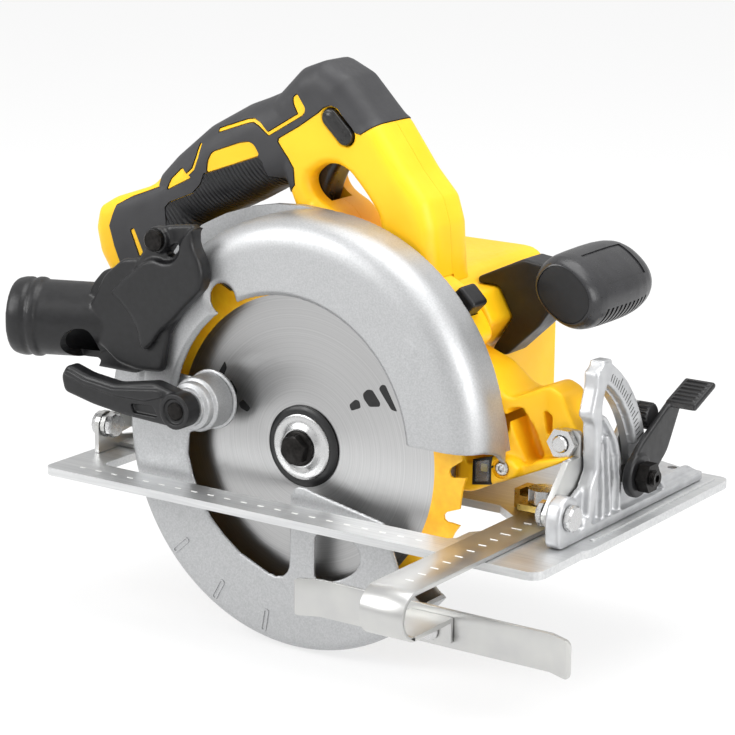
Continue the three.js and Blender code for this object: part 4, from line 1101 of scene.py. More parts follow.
# %% Yellow shells and rubber
UPPER = [(60, -12), (70, 0), (70, 62), (60, 86), (-5, 86), (-24, 64), (-26, 20), (-26, -8)]
GEAR_OUTLINE = rounded([*UPPER, (-16, -21), (0, -25.5), (22, -21)], 9)
MOTOR_OUTLINE = rounded([*UPPER, (-16, -19), (0, -21.5), (24, -20)], 9)
LOBE_OUTLINE = rounded([(50, 36), (72, 46), (84, 60), (80, 68), (68, 82), (56, 88)], 3)
BLOCK_OUTLINE = rounded([(60, 50), (71, 50.5), (81.8, 65), (74, 78.5), (60, 79)], 2)
TRIGGER_SLOT = [(-24.3, 128), (-24.3, 136), (-14, 148.5), (7, 148.5), (7.5, 134), (-9, 106), (-14, 106),
                (-20.6, 115)]
BUTTON_ENDS, BUTTON_ROOM = ((2.5, 157.5), (11, 149.5)), 5.0
TRIGGER_PIN, PIN_HOLE = (-1, 141), 2.3
CASE_END, MOTOR_START = 36, 36.3
FIT = 0.3  # the gap between neighbouring mouldings
GROOVE, STEP, PROUD, RUBBER_INSIDE, HALF_SEAM = 0.45, -1.4, 0.55, -1.25, 0.08


def housing_spaces():
    """Rooms for the motor housing and the gear case, with the gap between mouldings."""
    spaces = ((MOTOR_OUTLINE, 10, 70), (GEAR_OUTLINE, 10, MOTOR_START), (LOBE_OUTLINE, 10, MOTOR_START),
              (BLOCK_OUTLINE, CASE_END, 75))
    return [slab(grown(outline, FIT), start, end) for outline, start, end in spaces]


def small_spaces():
    """Rooms for the trigger, the button with its flared mouth, the switch, the depth bracket and a pin."""
    button = pill(*BUTTON_ENDS, BUTTON_ROOM)
    return [
        slab(TRIGGER_SLOT, 26.3, 43.7), through(button), flared(button, HANDLE_NEAR, HANDLE_FAR, 0.9),
        block((-21, -5), (24, 46), (149, 167)), block((-76, -25), (10, 21.8), (30, 98)),
        rod(TRIGGER_PIN, PIN_HOLE, 21, 49),
    ]


def rubber_zone(by, window_by):
    """The prism across the handle that the rubber and the inlay fill."""
    return cut(through(RUBBER, by), *windows(window_by))


def shells(core):
    """The yellow shells in one: the core, stepped under the rubber and cut for its neighbours."""
    step = cut(rubber_zone(GROOVE, 0), swollen(copy(core), STEP))
    return cut(copy(core), step, *housing_spaces(), *small_spaces())


def overmould(core):
    """The rubber skin: the core pushed out, limited to its outline and hollowed."""
    skin = kept(swollen(copy(core), PROUD), rubber_zone(0, GROOVE))
    inside = swollen(copy(core), RUBBER_INSIDE)
    return cut(skin, inside, through(INLAY, GROOVE), through(FINGER_OPENING), *small_spaces())


yellow = shells(core)
halves = {"far": (HANDLE_MIDDLE + HALF_SEAM, ACROSS[1]), "near": (ACROSS[0], HANDLE_MIDDLE - HALF_SEAM)}
for side, stretch in halves.items():
    half = kept(copy(yellow), block((-170, 90), stretch, (30, 200)))
    piece(half, f"handle_half_{side}", YELLOW, "saw_body", [f"handle_shell_{side}"])
discard(yellow)
piece(overmould(core), "grip_overmould", RUBBER_SKIN, "saw_body",
      ["grip_cover", "head_cover"])

# %% [markdown]
# The inlay's ribs run across the grip. They are real ridges: the skin is pushed out along its normals
# by a wave, after being rebuilt in cells fine enough to hold it.

# %% Ribbed inlay
RIB_SPACING, RIB_HEIGHT = 2.4, 0.55
GRIP_WAY = Vector((math.cos(math.radians(30)), 0, math.sin(math.radians(30))))


def rippled(thing, base_mm):
    """Pushes the skin out by a base amount plus a wave along the grip."""
    points = np.array([v.co for v in thing.data.vertices])
    normals = np.array([v.normal for v in thing.data.vertices])
    along = (points - np.array(HUB)) @ np.array(GRIP_WAY) / MM
    wave = 0.5 + 0.5 * np.cos(along / RIB_SPACING * math.tau)
    points += normals * ((base_mm - RIB_HEIGHT + RIB_HEIGHT * wave) * MM)[:, None]
    thing.data.vertices.foreach_set("co", points.ravel())
    thing.data.update()
    return thing


def inlay(core):
    """The ribbed strip under the fingers."""
    fine = kept(copy(core), block((-104, -18), (0, 70), (80, 140)))
    ridged = rippled(softened(fine, 0.6, 1), 0.5)
    return cut(kept(ridged, through(INLAY)), swollen(copy(core), RUBBER_INSIDE))


piece(inlay(core), "grip_inlay", RIBBED, "saw_body")
discard(core)

# %% [markdown]
# The trigger and the lock-off button are moulded in black nylon and polished where fingers rub them.
# Both are small, so they are softened in half-millimetre cells.

# %% Trigger and lock-off button


def trigger():
    """The trigger, with the hole for its pin."""
    outline = rounded([(-18, 124), (-18.5, 133), (-12, 143), (1, 145), (3.5, 137), (-2.5, 130),
                       (-6.8, 121), (-8.5, 114), (-11.5, 110.8), (-15, 112.5)], 3)
    low, high = drawn_box("trigger")
    body = cut(slab(outline, low.y, high.y, edge=2.6), rod(TRIGGER_PIN, PIN_HOLE, 20, 50))
    return softened(body, 0.5, 4)


def lock_off_button():
    """A pill-shaped button that goes right through the handle, with a ridge along it."""
    low, high = drawn_box("lock_off_button")
    body = slab(pill(*BUTTON_ENDS, 4.5), low.y + 0.5, high.y - 0.5, edge=1.3)
    ridge = slab(pill(*BUTTON_ENDS, 2.2), low.y, high.y, edge=0.8)
    return softened(join(body, ridge), 0.45, 3)


piece(trigger(), "trigger_lever", POLISHED_BLACK, "trigger", ["trigger"])
piece(lock_off_button(), "lock_off_pill", POLISHED_BLACK, "lock_off_button",
      ["lock_off_button"])


# %% [markdown]
# ## Dust chute
# A moulded flap covers the guard's rear opening, and an elbow behind it leads into a round port with a
# stepped collar. The port is drawn along its own axis and turned into place. The rest are plates. The
# blade's room and the passage are cut through all of it.

# %% Dust chute
PORT_START, PORT_TURN, PORT_BORE = Vector((-108, -3, 47)), math.radians(22), 15.5
CHUTE_SCREW, CHUTE_SCREW_HOLE = (-69, 97), 2.3
FLAP_FACE, FLAP_BACK = -27, -17.4


def on_port(thing):
    """Turns a shape drawn along x to lie along the dust port."""
    swing = Matrix.Rotation(PORT_TURN, 4, "Z")
    thing.data.transform(Matrix.Translation(HUB + PORT_START * MM) @ swing @ Matrix.Translation(-HUB))
    return thing


def port_tube():
    """The round port with its stepped collar, before it is bored."""
    outside = [(0, 6), (18.7, 6), (18.9, -41.6), (20, -42.4), (20, -45.6), (19.1, -46.4), (19.1, -48.2),
               (19.9, -49), (19.7, -52.4), (18.9, -55.4), (17.6, -57), (0, -57)]
    return on_port(turned(outside, SPINDLE, "x", 120))


def chute_flap():
    """The overlapping plates that cover the rear of the guard."""
    face, back = FLAP_FACE, FLAP_BACK
    outline = [(-99.1, 67), (-88.2, 76.9), (-78.8, 84.5), (-72, 87.5), (-66, 86), (-60, 87), (-56, 91.5),
               (-55.5, 98), (-50, 103.5), (-47.2, 105.5), (-48.2, 99.5), (-47, 94.8), (-43.5, 89.5),
               (-41.7, 81.9), (-43, 75.9), (-48.4, 70.3), (-54.5, 64.6), (-60.7, 57.8), (-68.1, 51.8),
               (-73.2, 44.6), (-78.2, 40.4), (-80.7, 43.5), (-81.8, 50.9), (-86.7, 57.7), (-92.8, 63.3)]
    lobe = [(-86, 80), (-81, 87.5), (-75, 97.4), (-72.4, 101.5), (-67.4, 103.4), (-56.5, 105), (-49, 106),
            (-48, 98), (-54, 80), (-66, 78)]
    behind = [(-106, 74), (-94, 84), (-80, 86), (-62, 80), (-52, 70), (-66, 50), (-70, 30), (-85, 29),
              (-98, 31), (-112, 41), (-116, 56)]
    boss = rod(CHUTE_SCREW, 6.4, face - 0.2, face + 5, steps=48)
    front = slab(rounded(outline, 2.5), face, back, edge=2)
    lower = slab(rounded(behind, 3), face + 4.4, back, edge=2)
    upper = slab(rounded(lobe, 2.5), face + 3.4, back, edge=1.2)
    window = slab(rounded([(-66.2, 89.5), (-62.4, 88.8), (-58.3, 92.2), (-57.6, 96), (-61, 95.4)], 1), -40, 0)
    return [front, lower, cut(upper, window), boss]


def dust_chute():
    """The flap, the elbow and the port in one moulding, bored and cleared for the blade."""
    body = rounded([(-118, 26), (-118, 66), (-108, 77), (-86.3, 77), (-86.3, 26)], 5)
    elbow = slab(body, -19, 12, edge=1.5)
    whole = melted([*chute_flap(), elbow, port_tube()], 0.8, 3)
    bleed = slab(rounded([(-130.4, 33), (-127, 42), (-121, 46.5), (-113.5, 46.5), (-110.5, 40), (-111, 27),
                          (-117, 24.4), (-126, 24.8)], 4), -45, -12, edge=1)
    passage = on_port(rod(SPINDLE, PORT_BORE, -58, 12, "x", 96))
    chamber = block((-114, -86), (-13.5, 10), (30, 72))
    sweep = rod(SPINDLE, 103, -13.5, 10, steps=FINE)
    return cut(whole, passage, chamber, sweep, bleed, rod(CHUTE_SCREW, CHUTE_SCREW_HOLE, -28, -16))


piece(dust_chute(), "dust_chute_moulding", BLACK, "saw_body", ["dust_chute"])


# %% [markdown]
# ## Gear case and motor housing
# The gear case carries the front pivot on a long arm, lightened by pockets with slanting webs, and a
# low nose with the work light. The motor housing is a plain rounded box behind it. Yellow skins all
# of it, so the shapes alone have to tell the parts apart: every pocket is a real cut.

# %% Gear case
FRONT_PIVOT = (129, 17.5)
MOTOR_CENTRE = (14.08, 23.04)
SHAFT_ROOM, GEAR_ROOM = 7, 24
LENS_OUTLINE = [(88.6, -5.6), (96.4, -4.4), (96.6, 6.8), (88.7, 4.4)]
NOSE_SCREW = (102.6, 3.2)


def lock_outline(extra, depth):
    """The spindle lock's outline, along its slanting way."""
    way, across = Vector((0.7, 0.714)), Vector((-0.714, 0.7))
    ends = ((-depth, -1), (5, -1), (5, 1), (-depth, 1))
    return [tuple(Vector((76.5, 78)) + way * reach + across * side * (6 + extra)) for reach, side in ends]


def gear_case_skin():
    """The case, the arm to the front pivot and the nose, melted together and pocketed."""
    nose_face = drawn_box("gear_case")[0].y
    arm = [(60, -10), (81, -13), (98, -6), (120, 4), *arc(*FRONT_PIVOT, 7, -70, 30, 8), (131, 27),
           (125, 39), (118, 42), (102, 35), (88, 46), (60, 56)]
    ridge = [(60, 50), (86, 42), (100, 33), (118, 40), (125, 38), (121, 32), (104, 28), (84, 36), (60, 44)]
    nose = [(78, -10), (80, -12), (86, -11.4), (92, -8.6), (102, -3.6), (111, 0.4), (112, 6), (104, 8.6),
            (78, 8.6)]
    sill = [(97, -6.5), (120, 3.8), (129, 8.2), (133.6, 10.8), (133.6, 12.2), (127, 10.6), (118, 8),
            (97, 0)]
    pockets = [
        [(84, 2), (95, 8), (101, 14), (102.5, 27), (90, 31), (79, 22)],
        [(100.5, 30.2), (107, 31.6), (113, 20), (117.4, 6.6), (110, 4.6), (105.4, 15)],
        [(115.4, 30.6), (121, 28), (120.2, 22.4), (119, 12.6), (117.4, 20.7)],
    ]
    arms = join(slab(rounded(arm, 2), 18, 50, edge=3), slab(rounded(ridge, 3), 16.6, 50, edge=3))
    receding = slab([(97, 8), (97, 17), (116, 28), (150, 28), (150, 8)], -20, 50, "z")
    parts = [
        slab(GEAR_OUTLINE, 16.4, CASE_END, edge=2), cut(arms, receding),
        slab(rounded(nose, 2.5), nose_face, 22, edge=2.4), slab(LOBE_OUTLINE, 16.4, CASE_END, edge=2),
        slab(sill, 18, 30, edge=0.6), rod(FRONT_PIVOT, 7.2, 28.6, 50, edge=1),
    ]
    cutters = [slab(rounded(pocket, 2.5), 10, CASE_END, edge=1.5) for pocket in pockets]
    return softened(cut(melted(parts, 0.9, 3), *cutters), 0.8, 2)


def gear_case():
    """The skin, with the rooms for the gears, the lens, the pivot and the spindle lock."""
    return cut(
        gear_case_skin(), slab(grown(MOTOR_OUTLINE, FIT), CASE_END, 54),
        slab(grown(BLOCK_OUTLINE, FIT), CASE_END, 54), slab(grown(LENS_OUTLINE, 1.3), 10, 15.3),
        rod(SPINDLE, GEAR_ROOM, 19.5, 37), rod(MOTOR_CENTRE, SHAFT_ROOM, 18.5, 37), rod(SPINDLE, 8.3, 14, 20),
        rod(FRONT_PIVOT, 4.3, 10, 60), slab(lock_outline(FIT, 16), 14, 30.3),
        rod(NOSE_SCREW, 4.8, 10, 13.9), rod(NOSE_SCREW, 2, 12, 19),
    )


piece(gear_case(), "gear_case_moulding", YELLOW, "saw_body", ["gear_case"])

# %% [markdown]
# The work light is a slanted clear window in a dark frame, with one small warm chip behind it.

# %% Work light, nose screw and spindle lock


def light_frame():
    """The dark frame round the window."""
    frame_ring = slab(grown(LENS_OUTLINE, 1.2), 12.2, 15.1, edge=0.3)
    return cut(frame_ring, slab(rounded(LENS_OUTLINE, 1), 11, 14.4))


def warm_chip():
    """A small dull yellow square, as a white diode looks when it is off."""
    skin = Finish("phosphor-coated chip", "#e9d36a", 0.5)
    return skin.rough(skin.grain(0.6, 2), 0.42, 0.6).material


def star_screw(centre, face, length, radius):
    """A pan-head screw with a star-shaped recess, seen from the blade's side."""
    body = turned([(0, face), (radius * 0.72, face), (radius, face + 0.9), (radius, face + 1.8),
                   (2, face + 1.8), (2, face + length), (0, face + length)], centre, steps=48)
    star = [arc(*centre, radius * (0.5 if i % 2 else 0.36), 30 * i, 30 * i, 0)[0] for i in range(12)]
    return eased(cut(body, slab(star, face - 1, face + 1.2)), 0.12)


def spindle_lock():
    """A slanting button at the top of the gear case."""
    low, high = drawn_box("spindle_lock")
    return softened(slab(rounded(lock_outline(0, 11), 2), low.y, high.y, edge=1.6), 0.5, 3)


piece(light_frame(), "light_frame", BLACK, "saw_body")
piece(slab(rounded(LENS_OUTLINE, 1), 12.7, 13.5, edge=0.2), "light_window", LENS, "saw_body",
      ["light_lens"])
piece(slab(rounded([(91.4, 0), (94.6, 0), (94.6, 3.6), (91.4, 3.6)], 0.6), 13.7, 14.3), "light_chip",
      warm_chip(), "saw_body")
piece(star_screw(NOSE_SCREW, 12.5, 6, 3.7), "nose_screw", TURNED, "saw_body")
piece(spindle_lock(), "spindle_lock_button", BLACK, "spindle_lock", ["spindle_lock"])

# %% [markdown]
# The motor housing is hollow: its walls, the bearing's seat and the field's barrel are all there, so
# the end cap's vents open onto a real inside.

# %% Motor housing and end cap


def bearing_seat():
    """The hole for the rear spindle bearing."""
    return rod(SPINDLE, 12.4, 30, 46)


def shaft_hole():
    """The hole that the motor shaft passes through."""
    return rod(MOTOR_CENTRE, SHAFT_ROOM, 30, 60)


def motor_housing():
    """A rounded box with a floor and a barrel for the field magnets."""
    skin = melted([slab(MOTOR_OUTLINE, MOTOR_START, 118, edge=4, steps=4, end_edge=1.2),
                   slab(BLOCK_OUTLINE, MOTOR_START, 74, edge=1.5)], 1.0, 3)
    shell = cut(skin, slab(grown(MOTOR_OUTLINE, -3), 49, 130), bearing_seat(), shaft_hole())
    floor = cut(slab(grown(MOTOR_OUTLINE, -2.5), 44, 49), bearing_seat(), shaft_hole())
    barrel = cut(rod(MOTOR_CENTRE, 32.5, 47, 112), rod(MOTOR_CENTRE, 30, 40, 120), bearing_seat())
    return join(shell, floor, barrel)


def motor_end_cap():
    """A domed cap with a row of slots for the air."""
    low, high = drawn_box("motor_end_cap")
    x, z = MOTOR_CENTRE
    skin = softened(slab(grown(MOTOR_OUTLINE, -6), low.y, high.y, edge=0.8, end_edge=4.5, steps=4), 0.9, 3)
    vents = [slab(pill((x - 17, level), (x + 17, level), 2.1), 110, 140)
             for level in (z + rise for rise in range(-20, 21, 8))]
    return cut(skin, *vents)


piece(motor_housing(), "motor_housing_moulding", YELLOW, "saw_body", ["motor_housing"])
piece(motor_end_cap(), "motor_cap_moulding", BLACK, "saw_body", ["motor_end_cap"])

# %% [markdown]
# ## Front grip
# The second hand holds a short oval grip that leans with the wrist. It is drawn as rings of a leaning
# oval that swell and close along its length. The inset at its near end, the panel on top and the
# row of grooves below are cut to an even depth by cutting with the grip's own skin, moved inwards.
# A near-black plate in the inset is painted shade, because the end face turns away from the light.

# %% Front grip and its bracket
AUX_CENTRE = (117.5, 83)
AUX_LEAN = math.radians(-38)
AUX_HALF = (19.8, 15.6)
AUX_NEAR = drawn_box("aux_grip")[0].y
# How far along the grip each ring stands, and its size beside the full oval.
AUX_SECTIONS = ((0, 0.74), (0.6, 0.79), (2.4, 0.86), (5.5, 0.93), (10, 0.965), (18, 0.98), (30, 0.99),
                (40, 0.985), (48, 0.955), (54, 0.9), (58.5, 0.8), (61.8, 0.67), (63.6, 0.52), (64.5, 0.34))


def aux_point(a, b):
    """A point in the grip's own leaning axes."""
    return (AUX_CENTRE[0] + a * math.cos(AUX_LEAN) - b * math.sin(AUX_LEAN),
            AUX_CENTRE[1] + a * math.sin(AUX_LEAN) + b * math.cos(AUX_LEAN))


def aux_oval(scale, power=2.3, steps=72):
    """A leaning oval, a little squarer than an ellipse."""
    ring = []
    for t in np.linspace(0, math.tau, steps, endpoint=False):
        c, s = math.cos(t), math.sin(t)
        ring.append(aux_point(AUX_HALF[0] * scale * math.copysign(abs(c) ** (2 / power), c),
                              AUX_HALF[1] * scale * math.copysign(abs(s) ** (2 / power), s)))
    return ring


def aux_patch(a, b, y):
    """A box in the grip's own axes."""
    corners = [aux_point(*corner) for corner in ((a[0], b[0]), (a[1], b[0]), (a[1], b[1]), (a[0], b[1]))]
    return slab(rounded(corners, 0.4, 2), AUX_NEAR + y[0], AUX_NEAR + y[1])


def front_grip():
    """The oval body, with its top panel, finger grooves and inset end."""
    rings = [[(*p, AUX_NEAR + along) for p in aux_oval(scale)] for along, scale in AUX_SECTIONS]
    body = softened(solid("front grip", rings, "y"), 0.9, 2)
    panel = cut(aux_patch((-9, 10), (0, 30), (13, 50)), swollen(copy(body), -0.6))
    slots = join(*[aux_patch((12, 30), (-14, 6), (start, start + 1.9)) for start in range(11, 48, 4)])
    inset = slab(aux_oval(0.735), AUX_NEAR - 1, AUX_NEAR + 1.4)
    return cut(body, panel, cut(slots, swollen(copy(body), -1.5)), inset)


def grip_bracket():
    """The fork that carries the grip, cut to fit round it."""
    fork = [(63, 79.3), (63, 82.3), (88, 94), (104, 92), (104, 72), (97, 62), (80, 46), (74, 46),
            (72, 48.5), (82.6, 64.8), (74.6, 79.3)]
    low, high = drawn_box("aux_bracket")
    body = softened(slab(rounded(fork, 1.2, 3), low.y, high.y, edge=1, steps=2), 0.6, 2)
    return cut(body, slab(aux_oval(1.0), 39, 106))


def rubbed_grip_plastic():
    """Glass-filled nylon with a spark-eroded skin that hands have started to polish."""
    skin = Finish("hand-polished charcoal nylon", "#262628", 0.34, IOR=1.5)
    skin.tint(skin.grain(10, 3), "#222224", "#2a2a2c")
    skin.rough(skin.grain(2.2, 3), 0.26, 0.34)
    return skin.relief(skin.grain(0.9, 4), 0.05, 0.6).material


# A black plate in the inset at the near end, darker than the grip: painted shade for the end face.
shade_end_plate = slab(aux_oval(0.725), AUX_NEAR + 0.4, AUX_NEAR + 1.4, edge=0.3)
piece(front_grip(), "front_grip_moulding", rubbed_grip_plastic(), "saw_body", ["aux_grip"])
piece(shade_end_plate, "front_grip_shaded_end", BLACK, "saw_body")
piece(grip_bracket(), "front_grip_bracket", BLACK, "saw_body", ["aux_bracket"])

# %% [markdown]
# ## Bevel quadrant and its lever
# The quadrant is one heavy casting: a thin web stiffened by a thick spine on the near side, a curved
# rib round the slot, two ribs that spread towards the foot, and a raised band that carries the angle
# scale. The web is joined with every rib and softened once, so that the ribs grow out of it with
# casting radii. The bracket behind it is folded sheet.

# %% Quadrant casting
BEVEL_AXIS, BEVEL_PIN_HOLE = (2, -10), 3.2
BEVEL_CLAMP = (58, -2.5)
quadrant_low, quadrant_high = drawn_box("bevel_quadrant")
WEB_FACE, RIB_FACE = quadrant_high.x - 4.2, quadrant_high.x - 0.3
FOOT_HEIGHT, RIB_WIDTH = 4.6, 2.6


def quadrant():
    """The casting: web, spine, band, foot, ribs, pin lug and bolt flange, then the slot and holes."""
    back, floor = quadrant_low.x + 0.2, quadrant_low.z
    foot = floor + FOOT_HEIGHT
    edge = [(3, -4), (14, -4.5), (21.5, -1), (26.6, 6), (25.2, 28.5), (20.6, 33), (25.2, 46), (25, 52.5),
            (29, 54.5), (30.5, 57.5)]
    web = [(-5, floor), (-5, -4), *edge, *arc(*BEVEL_AXIS, 74.5, 62, 18, 20), (79, 4), (88, -14),
           (128, -16), (134, -19), (134, floor)]
    spine = [*edge[2:], (39.5, 57), (37, 48), (33, 42), (31, 36.5), (31.5, 30), (31, 6), (28, -6), (24, -20),
             (20, -20)]
    ribs = [
        [(29, 32), (35, 29), (41, 22.7), (46, 16.4), (49.6, 8), (51.5, -4), (51.5, -20)],
        [(38, 20), (40, 6), (42, -8), (43, -20)],
        [(33, 18), (35, 2), (36, -20)],
        [(79, 4), (84, -6), (98, -20)],
    ]
    lug = [(-7, floor + 1), (-7.6, -10), (-5, -2.8), (2, 0.2), (9, -2.4), (11.5, -10), (11, floor + 1)]
    flange = [(114, 116), (146, 110), (146, 125), (141, 132), (119, 139), (114, 137)]
    whole = melted([
        slab(web, back, WEB_FACE, "x", edge=0.5),
        slab(rounded(spine, 2), back - 0.1, RIB_FACE, "x", edge=1.2),
        slab(band(BEVEL_AXIS, 64.6, 74.4, 18, 61), back + 1, RIB_FACE, "x", edge=0.6),
        block((back - 0.1, RIB_FACE + 0.2), (-5, 134), (floor, foot), 0.8),
        rod((19, -17.5), 3.4, back, RIB_FACE, "x", edge=1.2),
        *[slab(ribbon(path, RIB_WIDTH), back + 1, RIB_FACE - 0.6, "x", edge=0.6) for path in ribs],
        slab(rounded(lug, 2.5), back - 0.2, RIB_FACE + 0.3, "x", edge=1.4),
        slab(rounded(flange, 3), floor, foot, "z", edge=0.8),
    ], 0.8, 3)
    slot = slab(band(BEVEL_AXIS, 52.3, 63.6, 2.5, 57.2), back - 3, RIB_FACE + 3, "x")
    return cut(whole, slot, rod(BEVEL_AXIS, BEVEL_PIN_HOLE, back - 4, RIB_FACE + 4, "x"),
               rod((131, 130), 2.4, floor - 1, floor + 8, "z"))


def scale_stroke(degrees):
    """A fine stroke across the raised band, longer at every tenth degree."""
    ends = [arc(*BEVEL_AXIS, radius, degrees, degrees, 0)[0] for radius in
            (66.6, 72.6 if degrees % 10 == 0 else 70.4)]
    return slab(ribbon(ends, 0.55), RIB_FACE - 0.4, RIB_FACE + 0.06, "x")


piece(quadrant(), "quadrant_casting", CAST, "shoe", ["bevel_quadrant"])
scale = join(*[scale_stroke(degrees) for degrees in range(20, 59, 2)])
piece(scale, "quadrant_scale", LACQUER, "shoe")

# %% [markdown]
# The bracket behind the casting is 3 mm zinc-plated sheet. A plate turns on the bevel pin, a lug carries
# the clamp's bolt, and two ears are folded back from its edge to hold the saw's front pivot.

# %% Folded bracket behind the quadrant


def bevel_bracket():
    """The sheet bracket with its ears, lug and holes."""
    front = drawn_box("bevel_bracket")[1].x
    sheet = (front - 3, front, "x")
    web = [*arc(*BEVEL_AXIS, 6.3, 170, 290, 10), *arc(*BEVEL_CLAMP, 9.3, -90, 40, 12), (53, 11.8),
           (14.5, 11.8)]
    lug = rounded([(56, -11), (70, -2), (86, 16), (84, 27), (73, 27), (56, 8)], 4)
    ear = [(front - 0.2, 9), *arc(front - 3, 21, 2.8, 0, 90, 4), *arc(*FRONT_PIVOT, 6.4, 90, 200, 10),
           (127, 9)]
    whole = join(slab(web, *sheet), slab(lug, *sheet), slab(ear, 25.6, 28), slab(ear, 50.5, 52.9))
    holes = [rod(BEVEL_AXIS, BEVEL_PIN_HOLE, 130, 140, "x"), rod(BEVEL_CLAMP, 4, 130, 140, "x"),
             rod(FRONT_PIVOT, 4.2, 20, 60)]
    return eased(cut(whole, *holes), 0.3)


piece(bevel_bracket(), "bevel_bracket_fold", ZINC, "bevel_frame", ["bevel_bracket"])

# %% [markdown]
# The lever is moulded flat, with a hub, a straight arm and a thumb pad that stands out at a right angle;
# six beads run across the pad. The clamp's bolt and nut are blackened steel, and the bolt's thread is
# drawn as rings, which look the same at this size. The stop's knob is a short barrel with grooves round
# its rim for the fingers.

# %% Bevel lever, clamp bolt and stop knob
BEADS, KNOB_GROOVES = 6, 18
THREAD_RADIUS, THREAD_ROOT, THREAD_PITCH = 3.7, 3.3, 0.8


def bevel_lever():
    """The lever with its hub, arm and beaded thumb pad."""
    low, high = drawn_box("bevel_lever")
    arm = rounded([(50, 4), (48.5, -3), (52, -11), (60, -13.6), (66, -11), (71, -7), (86, 3.2), (99, 24),
                   (97, 29), (88, 26.5), (60, 12)], 3)
    tread = [(86.5, 24.6), (89, 24), (108, 31.2), (108.6, 33), (107, 34.2), (88, 27.2)]
    parts = [slab(arm, low.x + 0.6, low.x + 4, "x", edge=0.8),
             rod(BEVEL_CLAMP, 10.6, low.x + 0.2, 152.2, "x", edge=1),
             slab(tread, low.x + 0.8, high.x, "x", edge=0.9)]
    parts += [rod((90.6 + i * 2.9, 27.9 + i * 1.1), 0.9, low.x + 3, high.x - 2.2, "x", steps=16, edge=0.3)
              for i in range(BEADS)]
    return cut(softened(join(*parts), 0.45, 2), rod(BEVEL_CLAMP, 4.1, low.x - 4, high.x + 4, "x"))


def clamp_bolt():
    """The clamp's bolt: a shoulder that runs in the slot, a threaded end, and a socket in its face."""
    ring = ((THREAD_RADIUS, 0), (THREAD_ROOT, 0.3), (THREAD_ROOT, 0.5), (THREAD_RADIUS, THREAD_PITCH))
    thread = [(radius, start + along) for start in np.arange(155.2, 160, THREAD_PITCH)
              for radius, along in ring]
    profile = [(0, 131.5), (4, 131.5), (4.6, 132.3), (4.6, 134.2), (3.7, 134.2), (3.7, 142.4), (4.1, 142.6),
               (4.1, 146.8), (3.7, 147), *thread, (3, 160.7), (0, 160.7)]
    socket = slab(hexagon(BEVEL_CLAMP, 2.1), 157.6, 162, "x")
    return cut(turned(profile, BEVEL_CLAMP, "x", steps=48), socket)


def ribbed_knob():
    """The stop's knob, with its grooves."""
    low, high = drawn_box("detent_knob")
    centre, radius = ((low.y + high.y) / 2, (low.z + high.z) / 2), (high.y - low.y) / 2
    barrel = rod(centre, radius, low.x, high.x, "x", edge=0.9)
    round_rim = arc(*centre, radius + 0.4, 0, 360 - 360 / KNOB_GROOVES, KNOB_GROOVES - 1)
    return cut(barrel, *[rod(place, 1, low.x + 1.6, high.x + 2, "x", steps=16) for place in round_rim])


piece(bevel_lever(), "bevel_lever_moulding", BLACK, "bevel_lever", ["bevel_lever"])
piece(clamp_bolt(), "clamp_bolt_turned", OXIDE, "bevel_frame", ["bevel_clamp_bolt"], 28)
piece(ribbed_knob(), "detent_knob_moulding", BLACK, "bevel_frame", ["detent_knob"])

# %% [markdown]
# ## Shoe and rip fence
# The shoe keeps its drawn plate. The fence is one strip of sheet folded back on itself round a wide
# bend, with a guide plate riveted to its flange: its section is drawn once, with a true arc for the
# bend, and given the strip's width. What a hand reads off both is added as thin printed strokes, one
# for each centimetre. A pressed rib along the front stiffens the shoe.

# %% Shoe markings and pressed rib
SHOE_TOP = drawn_box("shoe_plate")[1].z
bar_low, bar_high = drawn_box("rip_fence_bar")
PRINT_MM = 0.12
BAR_SHEET, PLATE_SHEET, BEND_RADIUS, BEND_START = 2.2, 1.9, 11.5, -95
FENCE_RIVET, RIVET_HOLE, FLANGE = (116, -49.7), 2.3, -67


def printed_white():
    """Thin even white, a little duller than the metal round it."""
    skin = Finish("screen-printed white ink", "#f1f1ef", 0.5)
    return skin.rough(skin.grain(1.5, 2), 0.44, 0.6).material


def row_of_marks(places, outline_at, top):
    """One thin stroke at every place, standing a hair above the plate."""
    return join(*[slab(outline_at(place), top - 0.3, top + PRINT_MM, "z") for place in places])


def shoe_mark(x):
    """A short stroke on the near edge of the shoe."""
    return pill((x - 1.3, -29.2), (x + 1.3, -29.2), 0.55, 5)


def bar_mark(y):
    """A stroke on the fence bar, longer every five centimetres."""
    half = 2.4 if round(y / 10) % 5 == 0 else 1.7
    return pill((116.6 - half, y), (116.6 + half, y), 0.4, 5)


def rivet_hole():
    """The hole for the fence rivet."""
    return rod(FENCE_RIVET, RIVET_HOLE, -80, -60, steps=32)


def fence_bar():
    """The bar, from its section: the top run, the round bend, the lower run and the flange."""
    top, sheet, centre, low = bar_high.z, BAR_SHEET, bar_high.z - BEND_RADIUS, bar_high.z - 2 * BEND_RADIUS
    outer = arc(BEND_START, centre, BEND_RADIUS, 90, 270, 40)
    inner = arc(BEND_START, centre, BEND_RADIUS - sheet, 270, 90, 40)
    section = [(bar_high.y, top - sheet), (bar_high.y, top), *outer, (FLANGE, low), (FLANGE, bar_low.z),
               (FLANGE + PLATE_SHEET, bar_low.z), (FLANGE + PLATE_SHEET, low + sheet), *inner]
    return eased(cut(slab(section, bar_low.x, bar_high.x, "x"), rivet_hole()), 0.3)


def fence_plate():
    """The guide plate, with both ends bent away from the timber and its corners rounded."""
    low, high = drawn_box("rip_fence_plate")
    near, far = high.y - PLATE_SHEET, high.y
    bent = [(low.x, far - 5), (low.x + 1.5, far - 6.4), (55, near), (176, near), (high.x - 1.5, far - 6.4),
            (high.x, far - 5), (176.5, far), (54.5, far)]
    face = rounded([(low.x, low.z), (high.x, low.z), (high.x, high.z), (low.x, high.z)], 3.5, 8)
    plate = kept(slab(bent, low.z, high.z, "z"), slab(face, low.y - 5, high.y + 5))
    return eased(cut(plate, rivet_hole()), 0.25)


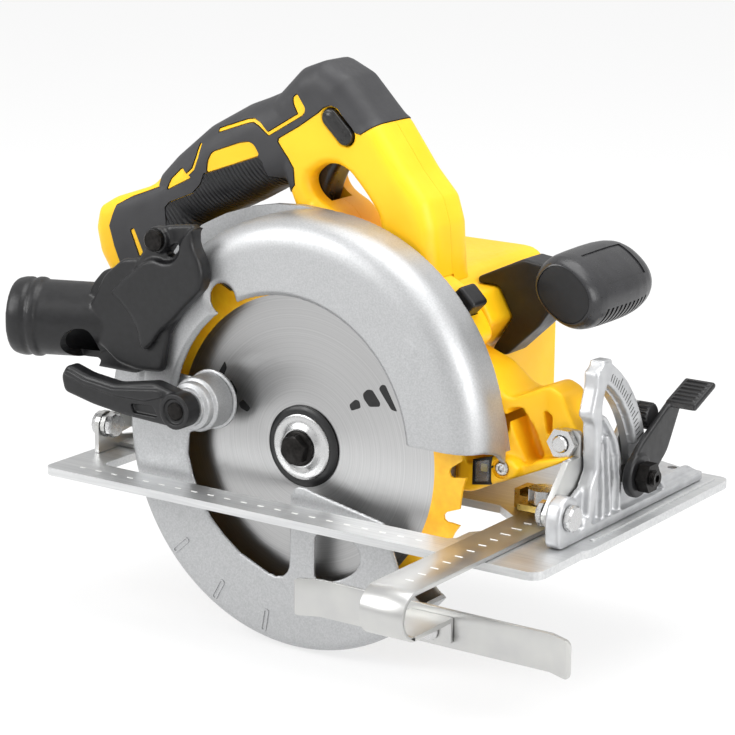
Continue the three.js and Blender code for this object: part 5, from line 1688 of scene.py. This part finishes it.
def pressed_rib():
    """A low rib across the front of the shoe."""
    line = [(148.6, 16), (151.2, 16), (151.2, 138), (148.6, 138)]
    return slab(rounded(line, 1.2), SHOE_TOP - 1, SHOE_TOP + 0.9, "z", edge=0.5)


ink = printed_white()
piece(fence_bar(), "fence_bar_strip", ZINC, "rip_fence", ["rip_fence_bar"])
piece(fence_plate(), "fence_plate_strip", ZINC, "rip_fence", ["rip_fence_plate"])
piece(row_of_marks(range(-115, 95, 10), shoe_mark, SHOE_TOP), "shoe_scale", ink, "shoe")
piece(row_of_marks(range(-85, 27, 10), bar_mark, bar_high.z), "fence_scale", ink, "rip_fence")
piece(pressed_rib(), "shoe_pressed_rib", PLATE, "shoe")

# %% [markdown]
# ## The pieces that keep their drawn shape
# Bolts, pins, shafts, bearings and the parts inside the housings are already the right shape in the
# model. Each keeps its mesh and gets its material, and a small bevel, because a turned or stamped
# part has no knife edges and it is the bevel that catches the light.

# %% Materials and bevels for the kept nodes
KEPT_FINISHES = {
    BLASTED: ["upper_guard_back"],
    PLATE: ["shoe_plate"],
    ZINC: ["rear_bevel_bracket", "depth_bracket"],
    PASSIVATED: ["fence_guide_block"],
    OXIDE: ["bevel_clamp_nut", "rotor", "stator", "guard_spring",
            "spindle_gear", "chute_screw", "guard_lever_screw"],
    BLACK: ["switch_body", "battery_foot", "terminal_block", "depth_lever", "cooling_fan"],
}
FINISH_OF = {node: finish for finish, nodes in KEPT_FINISHES.items() for node in nodes}
EASE_MM, EASE_ABOVE = 0.35, 40

for node, thing in NODES.items():
    if thing.hide_render:
        continue
    finish = FINISH_OF.get(node, TURNED)
    thing.data.materials.clear()
    thing.data.materials.append(finish)
    ease = thing.modifiers.new("eased edges", "BEVEL")
    ease.width = EASE_MM * MM
    ease.segments = 2
    ease.limit_method = "ANGLE"
    ease.angle_limit = math.radians(EASE_ABOVE)
    print("kept", node, "as", finish.name)

# %% [markdown]

# %% The end
print("done")
